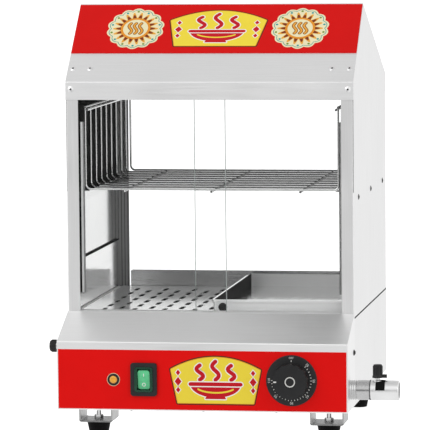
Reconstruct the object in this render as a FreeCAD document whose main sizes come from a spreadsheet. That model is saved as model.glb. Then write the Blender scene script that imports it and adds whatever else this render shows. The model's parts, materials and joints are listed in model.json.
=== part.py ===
import FreeCAD, Part
import Sketcher
import os
import re

# A hut-shaped steam cabinet on a low base. Everything is drawn in cabinet places: X runs to the right
# from the middle, Y runs back from the plane of the front posts, Z runs up from the underside of the base.
# Each sub-part is then set down so that the middle of the whole outline stands on the table at zero.

cabinet = {
    "cabinet_width": 356, "cabinet_depth": 335, "gauge": 1, "seam_height": 106, "sill_rise": 7,
    "bend_height": 395, "lintel_drop": 22, "ridge_rise": 92, "ridge_back": 102, "rear_bend_drop": 6,
    "rear_hem": 24, "post_width": 15.5, "rear_post_width": 15.5,
    "bend_radius": 1.8, "seat_gap": 0.3, "fit_gap": 0.05, "overrun": 5,
}
base = {
    "base_reach": 71, "shoulder_drop": 22.5, "lip_depth": 9.5, "ledge_width": 14, "shell_flange": 12,
    "fascia_margin": 1.5, "fascia_foot": 1.5, "sign_start": 50, "sign_margin": 0.5, "ridge_margin": 2.5,
}
tank = {
    "tank_side_gap": 15, "tank_front": 28, "tank_rear_margin": 27, "tank_foot": 14, "tank_flange_margin": 0.5,
    "heater_rise": 12, "heater_radius": 4.2, "heater_pitch": 45, "heater_bend": 14, "heater_rear_gap": 24,
    "heater_tail": 24, "heater_collar_radius": 9, "heater_collar": 5, "heater_front_gap": 30,
    "stem_radius": 4, "stem_height": 62, "stem_inset": 58, "stem_back": 34, "stem_stop_radius": 7,
    "stem_stop": 2, "float_radius": 12, "float_height": 20, "float_travel": 20, "float_rise": 8,
}
drain = {
    "drain_back": 21, "drain_height": 26, "drain_pipe_radius": 8, "drain_bore_radius": 5,
    "drain_pipe_inset": 30, "drain_bend": 18, "nipple_radius": 9, "nipple_length": 18, "nipple_inset": 8,
    "nut_radius": 12, "nut_length": 16.5, "nut_groove": 1.2, "nut_groove_depth": 1.4,
    "valve_radius": 12.2, "valve_length": 34.5, "valve_mouth_radius": 9.4, "valve_mouth": 7,
    "plug_radius": 6.5, "plug_below": 8, "plug_from_nut": 8.5, "plug_stem_radius": 2.5, "knob_clearance": 3,
    "tap_height": 16, "tap_foot_radius": 6.6, "tap_top_radius": 5.2, "tap_foot": 4, "tap_pointer": 11,
    "tap_rib": 0.8, "tap_ribs": 10, "tap_pointer_width": 4.5,
}
glazing = {
    "pane_thickness": 4, "track_wall": 1, "track_play": 0.5, "door_side_gap": 4.75, "door_overlap": 39.5,
    "door_head_gap": 4, "track_head_drop": 3, "track_lap": 16, "jamb_width": 19, "jamb_rise": 28,
    "jamb_drop": 50, "jamb_flange": 4, "rear_sill_rise": 23, "rear_channel_depth": 11,
    "window_side_gap": 21, "liner_rise": 65, "liner_gap": 3, "liner_front": 20, "liner_rear_gap": 15,
}
inside = {
    "rail_height": 260.4, "rail_drop": 20, "rail_width": 24, "rail_front": 20, "rail_rear_gap": 15,
    "wire_radius": 1.25, "rack_side_gap": 21, "rack_drop": 32, "rack_front": 18, "rack_rear_gap": 15.5,
    "rack_wires": 10, "rack_corner": 6, "rim_wire_radius": 1.5, "rim_drop": 3.2, "rim_inset": 2.6,
    "rib_inset": 47, "rim_tail": 1.5,
    "grate_side_gap": 8, "grate_front": 17, "grate_rear_gap": 15, "grate_skirt": 1.7,
    "slot_length": 30, "slot_width": 6, "slot_side_margin": 27.5, "slot_first": 52, "slot_rear_margin": 43,
    "slot_columns": 8, "slot_rows": 6,
    "pan_left": 0.7, "pan_right_gap": 3, "pan_height": 17, "pan_margin": 1.5, "pan_hem": 2.6,
    "pan_hem_height": 3, "pan_hole_radius": 5.5, "pan_hole_inset": 12,
    "pan_corner": 4,
}
controls = {
    "dial_inset": 68, "dial_height": 39, "dial_radius": 31, "dial_thickness": 1.6,
    "spindle_radius": 3, "bushing_radius": 5, "knob_radius": 21.4, "knob_height": 14,
    "flute_radius": 5, "flute_depth": 0.9, "flutes": 14, "knob_edge": 1.6, "knob_hub_radius": 7,
    "knob_hub_depth": 1.2, "knob_back_depth": 5, "knob_wall": 4, "knob_boss_radius": 6.5,
    "pointer_width": 1.6, "pointer_length": 3.4, "pointer_rise": 0.6,
    "thermostat_width": 36, "thermostat_height": 34, "thermostat_depth": 28,
    "switch_inset": 107.4, "switch_height": 38.2, "bezel_width": 32.4, "bezel_tall": 40.4,
    "bezel_proud": 3, "bezel_corner": 3.5, "switch_body_width": 26, "switch_body_tall": 34,
    "switch_body_depth": 26, "seal_width": 22.4, "seal_tall": 30.4, "seal_proud": 1.2,
    "rocker_width": 14.6, "rocker_radius": 12.2, "rocker_front": 4.6, "rocker_dip": 1.6,
    "rocker_back": 3.5, "rocker_tilt": 8, "rocker_play": 0.5, "rocker_axis_sink": 0.4,
    "rocker_pin_radius": 1.2, "rocker_pin": 1.8, "rocker_corner": 3, "seal_corner": 2.5,
    "lamp_inset": 69.8, "lamp_height": 37.5, "lamp_ring_radius": 7.3, "lamp_ring_proud": 1.6,
    "lamp_lens_radius": 4.8, "lamp_lens_proud": 2.6, "lamp_body_radius": 5.6, "lamp_body_depth": 22,
    "lamp_cup": 6,
    "reset_back": 23, "reset_drop": 31, "reset_body_radius": 11, "reset_body_depth": 22,
    "reset_neck_radius": 5, "reset_neck": 7, "reset_nut_radius": 7, "reset_nut": 3, "reset_button_radius": 2,
    "reset_button_travel": 1.5, "reset_button_proud": 2, "cap_reach": 13, "cap_radius": 7.8, "cap_length": 8,
    "cap_crown": 2.4, "cap_wall": 1.6, "cap_ribs": 18, "cap_rib": 0.6,
    "block_width": 44, "block_depth": 20, "block_height": 18, "block_front": 18, "block_screw_radius": 2,
    "block_ways": 5,
    "gland_inset": 58, "gland_height": 40, "gland_hex_radius": 11, "gland_hex": 5, "gland_dome_radius": 9,
    "gland_dome": 12, "gland_bore_radius": 4, "gland_thread_radius": 7.6, "gland_nut": 4, "gland_inside": 6,
}
feet = {
    "foot_inset": 34.2, "foot_front_gap": 16, "foot_rear_gap": 22, "bracket_width": 42, "bracket_height": 25,
    "bracket_gauge": 2, "bracket_flange": 9, "foot_height": 21.5, "foot_top_radius": 15,
    "foot_bottom_radius": 10.6, "foot_edge": 1.5, "bolt_radius": 3, "bolt_sink": 12, "bolt_above": 10,
    "hexnut_radius": 5.6, "hexnut_height": 5,
}
fasteners = {
    "rivet_radius": 3.6, "rivet_rise": 1.2, "rivet_hole_radius": 1.3, "rivet_from_edge": 6.7,
    "header_rivet_drop": 9, "slope_rivet_start": 23, "slope_rivet_inner": 28, "rail_rivet_drop": 8.9,
    "side_rivet_inset": 25.7, "screw_radius": 3.6, "screw_rise": 2.2, "screw_edge": 0.7,
    "side_screw_back": 61, "side_screw_drop": 40, "underside_screw_inset": 12, "underside_screws": 3,
}
# Sizes that follow from others, in words of the sheet.
derived = {
    "sill_height": "seam_height + sill_rise",
    "lintel_height": "bend_height - lintel_drop",
    "ridge_height": "bend_height + ridge_rise",
    "rear_bend_height": "bend_height - rear_bend_drop",
    "rear_hem_height": "bend_height - rear_bend_drop - rear_hem",
    "lip_top": "seam_height - shoulder_drop",
    "lip_foot": "seam_height - shoulder_drop - lip_depth",
    "tank_width": "cabinet_width - 2*tank_side_gap",
    "stem_across": "cabinet_width/2 - stem_inset",
    "drain_pipe_across": "cabinet_width/2 - drain_pipe_inset",
    "door_width": "cabinet_width/2 - gauge - door_side_gap + door_overlap/2",
    "track_head": "bend_height - track_head_drop",
    "jamb_reach": "cabinet_width/2 - gauge - jamb_width",
    "jamb_foot": "seam_height + jamb_rise",
    "jamb_top": "bend_height - jamb_drop",
    "rear_sill_top": "seam_height + rear_sill_rise",
    "window_width": "cabinet_width - 2*window_side_gap",
    "liner_top": "seam_height + liner_rise",
    "rack_half": "cabinet_width/2 - rack_side_gap",
    "rack_top": "bend_height - rack_drop",
    "rack_pitch": "(cabinet_depth - rack_rear_gap - rack_front)/(rack_wires - 1)",
    "rib_across": "cabinet_width/2 - rack_side_gap - rib_inset",
    "grate_half": "cabinet_width/2 - grate_side_gap",
    "slot_outer": "cabinet_width/2 - grate_side_gap - slot_side_margin",
    "slot_across": "2*(cabinet_width/2 - grate_side_gap - slot_side_margin)/(2*slot_columns - 1)",
    "slot_along": "(cabinet_depth - grate_rear_gap - slot_first - slot_rear_margin)/(slot_rows - 1)",
    "dial_across": "cabinet_width/2 - dial_inset",
    "switch_across": "cabinet_width/2 - switch_inset",
    "lamp_across": "cabinet_width/2 - lamp_inset",
    "reset_height": "seam_height - reset_drop",
    "gland_across": "cabinet_width/2 - gland_inset",
    "foot_across": "cabinet_width/2 - foot_inset",
    "side_rivet_height": "rail_height - rail_rivet_drop",
    "side_screw_height": "seam_height - side_screw_drop",
}
sizes = {}
for group in (cabinet, base, tank, drain, glazing, inside, controls, feet, fasteners, derived):
    sizes.update(group)

doc = FreeCAD.newDocument("SteamCabinet")
sheet = doc.addObject("Spreadsheet::Sheet", "Sizes")
for row, (name, size) in enumerate(sizes.items(), start=1):
    sheet.set("A%d" % row, name)
    sheet.set("B%d" % row, "=" + size if name in derived else str(size))
    sheet.setAlias("B%d" % row, name)
doc.recompute()

# Places that several sub-parts share, in words of the sheet.
half = "cabinet_width/2"
inner_half = "(cabinet_width/2 - gauge)"
front_pitch = "atan2(ridge_height - bend_height; ridge_back + gauge)"
rear_pitch = "atan2(ridge_height - rear_bend_height; cabinet_depth - ridge_back)"
ridge_shift = f"(gauge*(1/cos({front_pitch}) - 1/cos({rear_pitch}))/(tan({front_pitch}) + tan({rear_pitch})))"
panel_face = "(gauge - base_reach)"
deck = "(seam_height + gauge)"
tank_rear = "(cabinet_depth - tank_rear_margin)"
track_floor = "(seam_height + 2*gauge)"
front_pane = "(gauge + track_wall + track_play)"
rear_pane = "(gauge + 2*track_wall + 3*track_play + pane_thickness)"
track_back = "(gauge + 3*track_wall + 4*track_play + 2*pane_thickness)"
grate_top = "(seam_height + gauge + seat_gap + grate_skirt)"
grate_rear = "(cabinet_depth - grate_rear_gap)"
shelf_wire = "(rail_height + seat_gap + wire_radius)"
rack_back = "(rack_front + rack_pitch*(rack_wires - 1))"
valve_start = "(cabinet_width/2 + nipple_length/2 + nut_length)"
valve_reach = "(nipple_length/2 + nut_length + valve_length)"
plug_across = f"({valve_start} + plug_from_nut)"
drain_front = "(drain_back - base_reach)"
knob_back = "(base_reach + dial_thickness + seat_gap)"
rocker_axis = "(base_reach + bezel_proud - rocker_axis_sink - rocker_front)"
set_down = {
    "x": f"(cap_reach - {valve_reach})/2",
    "y": "(base_reach + dial_thickness + seat_gap + knob_height + pointer_rise"
         " - cabinet_depth - gland_hex - gland_dome)/2",
    "z": "bracket_height + foot_height",
}


def bound(text):
    """The same words with each named size pointed at its cell."""
    return re.sub(r"[a-z][a-z_0-9]*", lambda word: "Sizes." + word[0] if word[0] in sizes else word[0], text)


def number(text):
    """What an expression in words of the sheet comes to now."""
    return float(sheet.evalExpression(bound(text)))


def count(name):
    return int(round(number(name)))


def body(label, x="0", y="0", z="0", axis=None, turn=0):
    """A body, set down at a cabinet place, turned about one axis."""
    piece = doc.addObject("PartDesign::Body", label)
    piece.Label = label
    if axis:
        piece.Placement.Rotation = FreeCAD.Rotation(FreeCAD.Vector(*axis), turn)
    for way, place in (("x", x), ("y", y), ("z", z)):
        piece.setExpression("Placement.Base." + way, bound(f"{set_down[way]} + ({place})"))
    return piece


def origin_part(piece, role):
    return [part for part in piece.Origin.OriginFeatures if part.Role == role][0]


def sketch_on(piece, plane, place):
    """A sketch on one of the body's planes, at a place along that plane's axis."""
    sketch = piece.newObject("Sketcher::SketchObject", "Sketch")
    sketch.AttachmentSupport = [(origin_part(piece, plane + "_Plane"), "")]
    sketch.MapMode = "FlatFace"
    away = f"-({place})" if plane == "XZ" else f"({place})"
    sketch.setExpression("AttachmentOffset.Base.z", bound(away))
    return sketch


def hold(sketch, kind, *terms):
    """A dimension whose last term is an expression."""
    index = sketch.addConstraint(Sketcher.Constraint(kind, *terms[:-1], number(terms[-1])))
    sketch.setExpression("Constraints[%d]" % index, bound(terms[-1]))


def vector(x, y):
    return FreeCAD.Vector(number(x), number(y), 0)


def draw_polygon(sketch, corners):
    first = sketch.GeometryCount
    points = [vector(x, y) for x, y in corners]
    for start, end in zip(points, points[1:] + points[:1]):
        sketch.addGeometry(Part.LineSegment(start, end), False)
    for place, (x, y) in enumerate(corners):
        line = first + place
        before = first + (place - 1) % len(corners)
        sketch.addConstraint(Sketcher.Constraint("Coincident", before, 2, line, 1))
        hold(sketch, "DistanceX", -1, 1, line, 1, x)
        hold(sketch, "DistanceY", -1, 1, line, 1, y)


def draw_circle(sketch, x, y, radius):
    middle = vector(x, y)
    circle = sketch.addGeometry(Part.Circle(middle, FreeCAD.Vector(0, 0, 1), number(radius)), False)
    hold(sketch, "DistanceX", -1, 1, circle, 3, x)
    hold(sketch, "DistanceY", -1, 1, circle, 3, y)
    hold(sketch, "Radius", circle, radius)


def draw_slot(sketch, x, y, width, length):
    """A slot that runs along the sketch's second axis, round at both ends."""
    reach = f"(({length}) - ({width}))/2"
    radius = f"({width})/2"
    top = vector(x, f"{y} + {reach}")
    low = vector(x, f"{y} - {reach}")
    out = FreeCAD.Vector(number(radius), 0, 0)
    up = FreeCAD.Vector(0, 0, 1)
    first = sketch.GeometryCount
    sketch.addGeometry(Part.ArcOfCircle(Part.Circle(top, up, out.x), 0, 3.141592653589793), False)
    sketch.addGeometry(Part.LineSegment(top - out, low - out), False)
    sketch.addGeometry(Part.ArcOfCircle(Part.Circle(low, up, out.x), 3.141592653589793, 6.283185307179586), False)
    sketch.addGeometry(Part.LineSegment(low + out, top + out), False)
    for place in range(4):
        follower = first + (place + 1) % 4
        sketch.addConstraint(Sketcher.Constraint("Tangent", first + place, 2, follower, 1))
    for arc, middle in ((first, f"{y} + {reach}"), (first + 2, f"{y} - {reach}")):
        hold(sketch, "DistanceX", -1, 1, arc, 3, x)
        hold(sketch, "DistanceY", -1, 1, arc, 3, middle)
    hold(sketch, "Radius", first, radius)


def draw(sketch, loops):
    tools = {"polygon": draw_polygon, "circle": draw_circle, "slot": draw_slot}
    for kind, *terms in loops:
        tools[kind](sketch, *terms)


def polygon(*corners):
    return ("polygon", list(corners))


def rectangle(left, low, right, high):
    return polygon((left, low), (right, low), (right, high), (left, high))


def circle(x, y, radius):
    return ("circle", x, y, radius)


def slot(x, y, width, length):
    return ("slot", x, y, width, length)


def pad(piece, plane, start, end, *loops):
    """Material between two places along the plane's axis."""
    sketch = sketch_on(piece, plane, start)
    draw(sketch, loops)
    feature = piece.newObject("PartDesign::Pad", "Pad")
    feature.Profile = sketch
    feature.Reversed = plane == "XZ"
    feature.setExpression("Length", bound(f"({end}) - ({start})"))
    return feature


def pocket(piece, plane, start, end, *loops):
    """A cut between two places along the plane's axis."""
    sketch = sketch_on(piece, plane, start)
    draw(sketch, loops)
    feature = piece.newObject("PartDesign::Pocket", "Pocket")
    feature.Profile = sketch
    feature.Reversed = plane != "XZ"
    feature.setExpression("Length", bound(f"({end}) - ({start})"))
    return feature


def revolve(piece, *corners, kind="Revolution"):
    """An outline of radius and height turned about the body's own Z axis."""
    sketch = sketch_on(piece, "XZ", "0")
    draw_polygon(sketch, list(corners))
    feature = piece.newObject("PartDesign::" + kind, kind)
    feature.Profile = sketch
    feature.ReferenceAxis = (sketch, ["V_Axis"])
    feature.Angle = 360
    return feature


def around(piece, feature, copies):
    """Copies of a feature spread evenly about the body's own Z axis."""
    pattern = piece.newObject("PartDesign::PolarPattern", "Around")
    pattern.Originals = [feature]
    pattern.Axis = (origin_part(piece, "Z_Axis"), [""])
    pattern.Angle = 360
    pattern.setExpression("Occurrences", bound(copies))
    piece.Tip = pattern
    return pattern


def in_rows(piece, feature, *ways):
    """Copies of a feature in rows: each way is an axis, a full length and a number of copies."""
    rows = []
    many = len(ways) > 1
    grid = piece.newObject("PartDesign::MultiTransform", "Grid") if many else None
    for axis, length, copies in ways:
        line = piece.newObject("PartDesign::LinearPattern", "Row")
        line.Direction = (origin_part(piece, axis + "_Axis"), [""])
        line.setExpression("Length", bound(length))
        line.setExpression("Occurrences", bound(copies))
        rows.append(line)
    if many:
        grid.Originals = [feature]
        grid.Transformations = rows
    else:
        rows[0].Originals = [feature]
    piece.Tip = grid or rows[0]


def dress(piece, kind, size, chosen):
    """Rounds or bevels the edges that a test picks."""
    doc.recompute()
    tip = piece.Tip
    names = ["Edge%d" % place for place, edge in enumerate(tip.Shape.Edges, start=1) if chosen(edge)]
    if not names:
        raise ValueError("%s has no edge to dress" % piece.Label)
    feature = piece.newObject("PartDesign::" + kind, kind)
    feature.Base = (tip, names)
    feature.setExpression("Radius" if kind == "Fillet" else "Size", bound(size))
    return feature


def upright_to(top):
    """Picks straight upright edges that end at a height."""
    def chosen(edge):
        box = edge.BoundBox
        return box.ZLength > number(top)/2 and abs(box.ZMax - number(top)) < number("fit_gap")
    return chosen


def fold_at(way, *spots):
    """Picks straight edges along one axis, each at a place across the other two axes."""
    others = [axis for axis in "XYZ" if axis != way]

    def chosen(edge):
        box = edge.BoundBox
        near = number("fit_gap")
        if any(getattr(box, axis + "Length") > near for axis in others):
            return False
        middle = [getattr(box.Center, axis.lower()) for axis in others]
        return any(all(abs(here - number(there)) < near for here, there in zip(middle, spot)) for spot in spots)
    return chosen


def fold(piece, way, outer, inner):
    """The bend radii of folded sheet, outside and inside."""
    dress(piece, "Fillet", "bend_radius", fold_at(way, *outer))
    dress(piece, "Fillet", "bend_radius - gauge", fold_at(way, *inner))


def arc_of(radius):
    """Picks round edges of one radius."""
    def chosen(edge):
        curve = edge.Curve
        return curve.TypeId == "Part::GeomCircle" and abs(curve.Radius - number(radius)) < number("fit_gap")
    return chosen


def ring_at(height, radius):
    """Picks round edges about the body's own Z axis, of one height and radius."""
    def chosen(edge):
        curve = edge.Curve
        if curve.TypeId != "Part::GeomCircle":
            return False
        level = abs(curve.Center.z - number(height)) < number("fit_gap")
        return level and abs(curve.Radius - number(radius)) < number("fit_gap")
    return chosen


def draw_route(sketch, corners, bend):
    """A path of straight legs along the sketch's axes, with a round bend at each corner."""
    points = [vector(x, y) for x, y in corners]
    radius = number(bend)
    ways = [(end - start).normalize() for start, end in zip(points, points[1:])]
    last = len(ways) - 1
    for leg, way in enumerate(ways):
        start = points[leg] + way * radius * (leg > 0)
        end = points[leg + 1] - way * radius * (leg < last)
        sketch.addGeometry(Part.LineSegment(start, end), False)
        sketch.addConstraint(Sketcher.Constraint("Vertical" if abs(way.x) < abs(way.y) else "Horizontal", leg))
    for corner in range(1, len(ways)):
        before = ways[corner - 1]
        after = ways[corner]
        middle = points[corner] + (after - before) * radius
        left = before.cross(after).z > 0
        from_point = points[corner] - before * radius - middle
        to_point = points[corner] + after * radius - middle
        first_point = from_point if left else to_point
        start_angle = FreeCAD.Vector(1, 0, 0).getAngle(first_point) * (-1 if first_point.y < 0 else 1)
        quarter = Part.ArcOfCircle(Part.Circle(middle, FreeCAD.Vector(0, 0, 1), radius),
                                   start_angle, start_angle + 1.5707963267948966)
        arc = sketch.addGeometry(quarter, False)
        sketch.addConstraint(Sketcher.Constraint("Tangent", corner - 1, 2, arc, 1 if left else 2))
        sketch.addConstraint(Sketcher.Constraint("Tangent", arc, 2 if left else 1, corner, 1))
        hold(sketch, "Radius", arc, bend)
    for leg, way in enumerate(ways):
        upright = abs(way.x) < abs(way.y)
        hold(sketch, "DistanceX" if upright else "DistanceY", -1, 1, leg, 1, corners[leg][0 if upright else 1])
        if leg == 0:
            hold(sketch, "DistanceY" if upright else "DistanceX", -1, 1, leg, 1, corners[0][1 if upright else 0])
        if leg == last:
            hold(sketch, "DistanceY" if upright else "DistanceX", -1, 1, leg, 2, corners[-1][1 if upright else 0])


def tube(piece, plane, place, corners, bend, start_plane, start_place, *section):
    """A bent rod or tube: a section carried along a route that lies in one plane."""
    route = sketch_on(piece, plane, place)
    draw_route(route, corners, bend)
    profile = sketch_on(piece, start_plane, start_place)
    draw(profile, section)
    feature = piece.newObject("PartDesign::AdditivePipe", "Pipe")
    feature.Profile = profile
    feature.Spine = (route, [])
    return feature


def sides():
    """Both sides of the cabinet: the word for it, and its sign along X."""
    return (("left", "-1"), ("right", "1"))


def across(sign, near, far):
    """Two places along X in rising order, mirrored on the left."""
    if sign == "1":
        return near, far
    return f"-({far})", f"-({near})"


def base_shell():
    piece = body("base_shell")
    wall = polygon((f"-{half}", "0"), (f"-{inner_half}", "0"), (f"-{inner_half}", "cabinet_depth - gauge"),
                   (inner_half, "cabinet_depth - gauge"), (inner_half, "0"), (half, "0"),
                   (half, "cabinet_depth"), (f"-{half}", "cabinet_depth"))
    pad(piece, "XY", "gauge", "seam_height", wall)
    ledge = "(cabinet_width/2 - shell_flange)"
    flange = polygon((f"-{inner_half}", "ledge_width"), (f"-{ledge}", "ledge_width"),
                     (f"-{ledge}", "cabinet_depth - shell_flange"), (ledge, "cabinet_depth - shell_flange"),
                     (ledge, "ledge_width"), (inner_half, "ledge_width"),
                     (inner_half, "cabinet_depth - gauge"), (f"-{inner_half}", "cabinet_depth - gauge"))
    pad(piece, "XY", "seam_height - gauge", "seam_height", flange)
    fold(piece, "Z", [(half, "cabinet_depth"), (f"-{half}", "cabinet_depth")],
         [(inner_half, "cabinet_depth - gauge"), (f"-{inner_half}", "cabinet_depth - gauge")])
    pocket(piece, "XZ", "cabinet_depth - overrun", "cabinet_depth + overrun",
           circle("-gland_across", "gland_height", "gland_thread_radius + fit_gap"))


def bottom_plate():
    piece = body("bottom_plate")
    pad(piece, "XY", "0", "gauge", rectangle(f"-{half}", f"{panel_face}", half, "cabinet_depth"))


def control_housing():
    """The folded front of the base: face, lip, sloped shoulder, sill, ledge and two cheeks."""
    piece = body("control_housing")
    slope = "((sill_height - lip_top)/base_reach)"
    skin = f"(gauge*sqrt(1 + {slope}^2))"
    outside = polygon((panel_face, "gauge"), (panel_face, "lip_foot"), ("-base_reach", "lip_foot"),
                      ("-base_reach", "lip_top"), ("0", "sill_height"), ("0", "gauge"))
    pad(piece, "YZ", f"-{half}", half, outside)
    inner_front = (f"{panel_face} + gauge", f"lip_top + 2*gauge*{slope} - {skin}")
    inner_rear = ("-gauge", f"sill_height - gauge*{slope} - {skin}")
    hollow = polygon((f"{panel_face} + gauge", "0"), inner_front, inner_rear,
                     ("-gauge", "seam_height"), ("overrun", "seam_height"), ("overrun", "0"))
    pocket(piece, "YZ", f"-{inner_half}", inner_half, hollow)
    fold(piece, "X", [("-base_reach", "lip_top"), ("0", "sill_height")], [inner_front, inner_rear])
    ledge = rectangle("-gauge", "seam_height - gauge", "ledge_width", "seam_height")
    pad(piece, "YZ", f"-{inner_half}", inner_half, ledge)
    openings = [circle("dial_across", "dial_height", "bushing_radius + fit_gap"),
                rectangle("-switch_across - switch_body_width/2 - fit_gap",
                          "switch_height - switch_body_tall/2 - fit_gap",
                          "-switch_across + switch_body_width/2 + fit_gap",
                          "switch_height + switch_body_tall/2 + fit_gap"),
                circle("-lamp_across", "lamp_height", "lamp_body_radius + fit_gap")]
    pocket(piece, "XZ", f"{panel_face} - overrun/2", f"{panel_face} + overrun", *openings)
    pocket(piece, "YZ", f"{half} - overrun", f"{half} + overrun",
           circle(drain_front, "drain_height", "nipple_radius + fit_gap"))
    pocket(piece, "YZ", f"-{half} - overrun", f"-{half} + overrun",
           circle("reset_back - base_reach", "reset_height", "reset_neck_radius + fit_gap"))
    return openings


def control_fascia(openings):
    piece = body("control_fascia")
    sheet_edge = rectangle("fascia_margin - cabinet_width/2", "fascia_foot",
                           "cabinet_width/2 - fascia_margin", "lip_foot")
    pad(piece, "XZ", "-base_reach", panel_face, sheet_edge)
    pocket(piece, "XZ", "-base_reach - overrun", f"{panel_face} + overrun/2", *openings)


def water_tank():
    piece = body("water_tank")
    wall = "tank_width/2 + gauge"
    pad(piece, "XY", "tank_foot", "seam_height", rectangle(f"-({wall})", "tank_front - gauge", wall,
                                                          f"{tank_rear} + gauge"))
    edge = "(cabinet_width/2 - gauge - tank_flange_margin)"
    pad(piece, "XY", "seam_height", deck, rectangle(f"-{edge}", "0", edge,
                                                    "cabinet_depth - gauge - tank_flange_margin"))
    pocket(piece, "XY", "tank_foot + gauge", "seam_height + overrun",
           rectangle("-tank_width/2", "tank_front", "tank_width/2", tank_rear))
    dress(piece, "Fillet", "heater_bend - gauge", upright_to(deck))
    dress(piece, "Fillet", "heater_bend", upright_to("seam_height"))
    heads = [circle(f"{side}*heater_pitch*1.5", "tank_foot + heater_rise", "heater_radius + fit_gap")
             for side in ("-1", "1")]
    pocket(piece, "XZ", "tank_front - overrun", "tank_front + overrun", *heads,
           circle("drain_pipe_across", "drain_height", "drain_bore_radius"))
    pocket(piece, "XY", "tank_foot - overrun", "tank_foot + overrun",
           circle("-stem_across", "tank_front + stem_back", "stem_radius + fit_gap"))


def heating_element():
    piece = body("heating_element")
    level = "tank_foot + heater_rise"
    front = "tank_front + heater_front_gap"
    rear = f"{tank_rear} - heater_rear_gap"
    start = "tank_front - gauge - heater_tail"
    legs = ["-1.5", "-0.5", "0.5", "1.5"]
    corners = [(f"{legs[0]}*heater_pitch", start)]
    for place, leg in enumerate(legs):
        turn = rear if place % 2 == 0 else front
        if place > 0:
            corners.append((f"{leg}*heater_pitch", rear if place % 2 else front))
        if place < len(legs) - 1:
            corners.append((f"{leg}*heater_pitch", turn))
    corners.append((f"{legs[-1]}*heater_pitch", start))
    tube(piece, "XY", level, corners, "heater_bend", "XZ", start,
         circle(f"{legs[0]}*heater_pitch", level, "heater_radius"))
    for leg in (legs[0], legs[-1]):
        pad(piece, "XZ", "tank_front - gauge - heater_collar", "tank_front - gauge",
            circle(f"{leg}*heater_pitch", level, "heater_collar_radius"))


def level_sensor():
    """A stem on the tank floor with a stop, and the float that rides up it."""
    back = "tank_front + stem_back"
    stem = body("level_stem", "-stem_across", back, "tank_foot")
    revolve(stem, ("0", "-stem_stop*2"), ("stem_stop_radius", "-stem_stop*2"), ("stem_stop_radius", "0"),
            ("stem_radius", "0"), ("stem_radius", "float_rise - stem_stop"),
            ("stem_stop_radius", "float_rise - stem_stop"), ("stem_stop_radius", "float_rise"),
            ("stem_radius", "float_rise"), ("stem_radius", "stem_height - stem_stop"),
            ("stem_stop_radius", "stem_height - stem_stop"), ("stem_stop_radius", "stem_height"),
            ("0", "stem_height"))
    ring = body("level_float", "-stem_across", back, "tank_foot + float_rise + seat_gap")
    revolve(ring, ("stem_radius + seat_gap", "0"), ("float_radius", "0"), ("float_radius", "float_height"),
            ("stem_radius + seat_gap", "float_height"))
    for height in ("0", "float_height"):
        dress(ring, "Fillet", "float_height/8", ring_at(height, "float_radius"))


def drain_line():
    """The pipe from the tank with its nipple through the cheek, the union nut and the tap."""
    pipe = body("drain_pipe")
    route = [("drain_pipe_across", "tank_front - gauge"), ("drain_pipe_across", drain_front),
             (f"{inner_half} - nipple_inset", drain_front)]
    tube(pipe, "XY", "drain_height", route, "drain_bend", "XZ", "tank_front - gauge",
         circle("drain_pipe_across", "drain_height", "drain_pipe_radius"),
         circle("drain_pipe_across", "drain_height", "drain_bore_radius"))
    pad(pipe, "YZ", f"{inner_half} - nipple_inset", f"{half} + nipple_length/2",
        circle(drain_front, "drain_height", "nipple_radius"),
        circle(drain_front, "drain_height", "drain_bore_radius"))
    nut = body("drain_nut", f"{half} + nipple_length/2", drain_front, "drain_height", (0, 1, 0), 90)
    neck = "nut_radius - nut_groove_depth"
    revolve(nut, ("drain_bore_radius", "0"), (neck, "0"), (neck, "nut_groove"), ("nut_radius", "nut_groove"),
            ("nut_radius", "nut_length - nut_groove"), (neck, "nut_length - nut_groove"), (neck, "nut_length"),
            ("drain_bore_radius", "nut_length"))
    valve = body("drain_valve", valve_start, drain_front, "drain_height", (0, 1, 0), 90)
    mouth = "valve_length - valve_mouth"
    revolve(valve, ("drain_bore_radius", "0"), ("valve_radius", "0"), ("valve_radius", "valve_length"),
            ("valve_mouth_radius", "valve_length"), ("valve_mouth_radius", mouth), ("drain_bore_radius", mouth))
    dress(valve, "Fillet", "nut_groove", ring_at("valve_length", "valve_radius"))
    pocket(valve, "YZ", "-valve_radius - overrun", "plug_below + fit_gap",
           circle("0", "plug_from_nut", "plug_radius + fit_gap"))
    plug = body("drain_plug", plug_across, drain_front, "drain_height")
    stem_top = "valve_radius + knob_clearance + tap_height/2"
    revolve(plug, ("0", "-plug_below"), ("plug_radius", "-plug_below"), ("plug_radius", "valve_radius"),
            ("plug_stem_radius", "valve_radius"), ("plug_stem_radius", stem_top), ("0", stem_top))
    pocket(plug, "YZ", "-plug_radius - overrun", "plug_radius + overrun", circle("0", "0", "drain_bore_radius"))
    tap = body("drain_tap", plug_across, drain_front, "drain_height + valve_radius + knob_clearance")
    revolve(tap, ("plug_stem_radius", "0"), ("tap_foot_radius", "0"), ("tap_foot_radius", "tap_foot/2"),
            ("tap_top_radius", "tap_foot"), ("tap_top_radius", "tap_height"), ("0", "tap_height"),
            ("0", "tap_height/2"), ("plug_stem_radius", "tap_height/2"))
    dress(tap, "Fillet", "tap_rib", ring_at("tap_height", "tap_top_radius"))
    rib = pad(tap, "XY", "tap_foot/2", "tap_height - tap_rib*2", circle("tap_top_radius", "0", "tap_rib"))
    around(tap, rib, "tap_ribs")
    pad(tap, "XY", "0", "tap_foot", rectangle("tap_top_radius", "-tap_pointer_width/2", "tap_pointer",
                                              "tap_pointer_width/2"))


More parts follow.
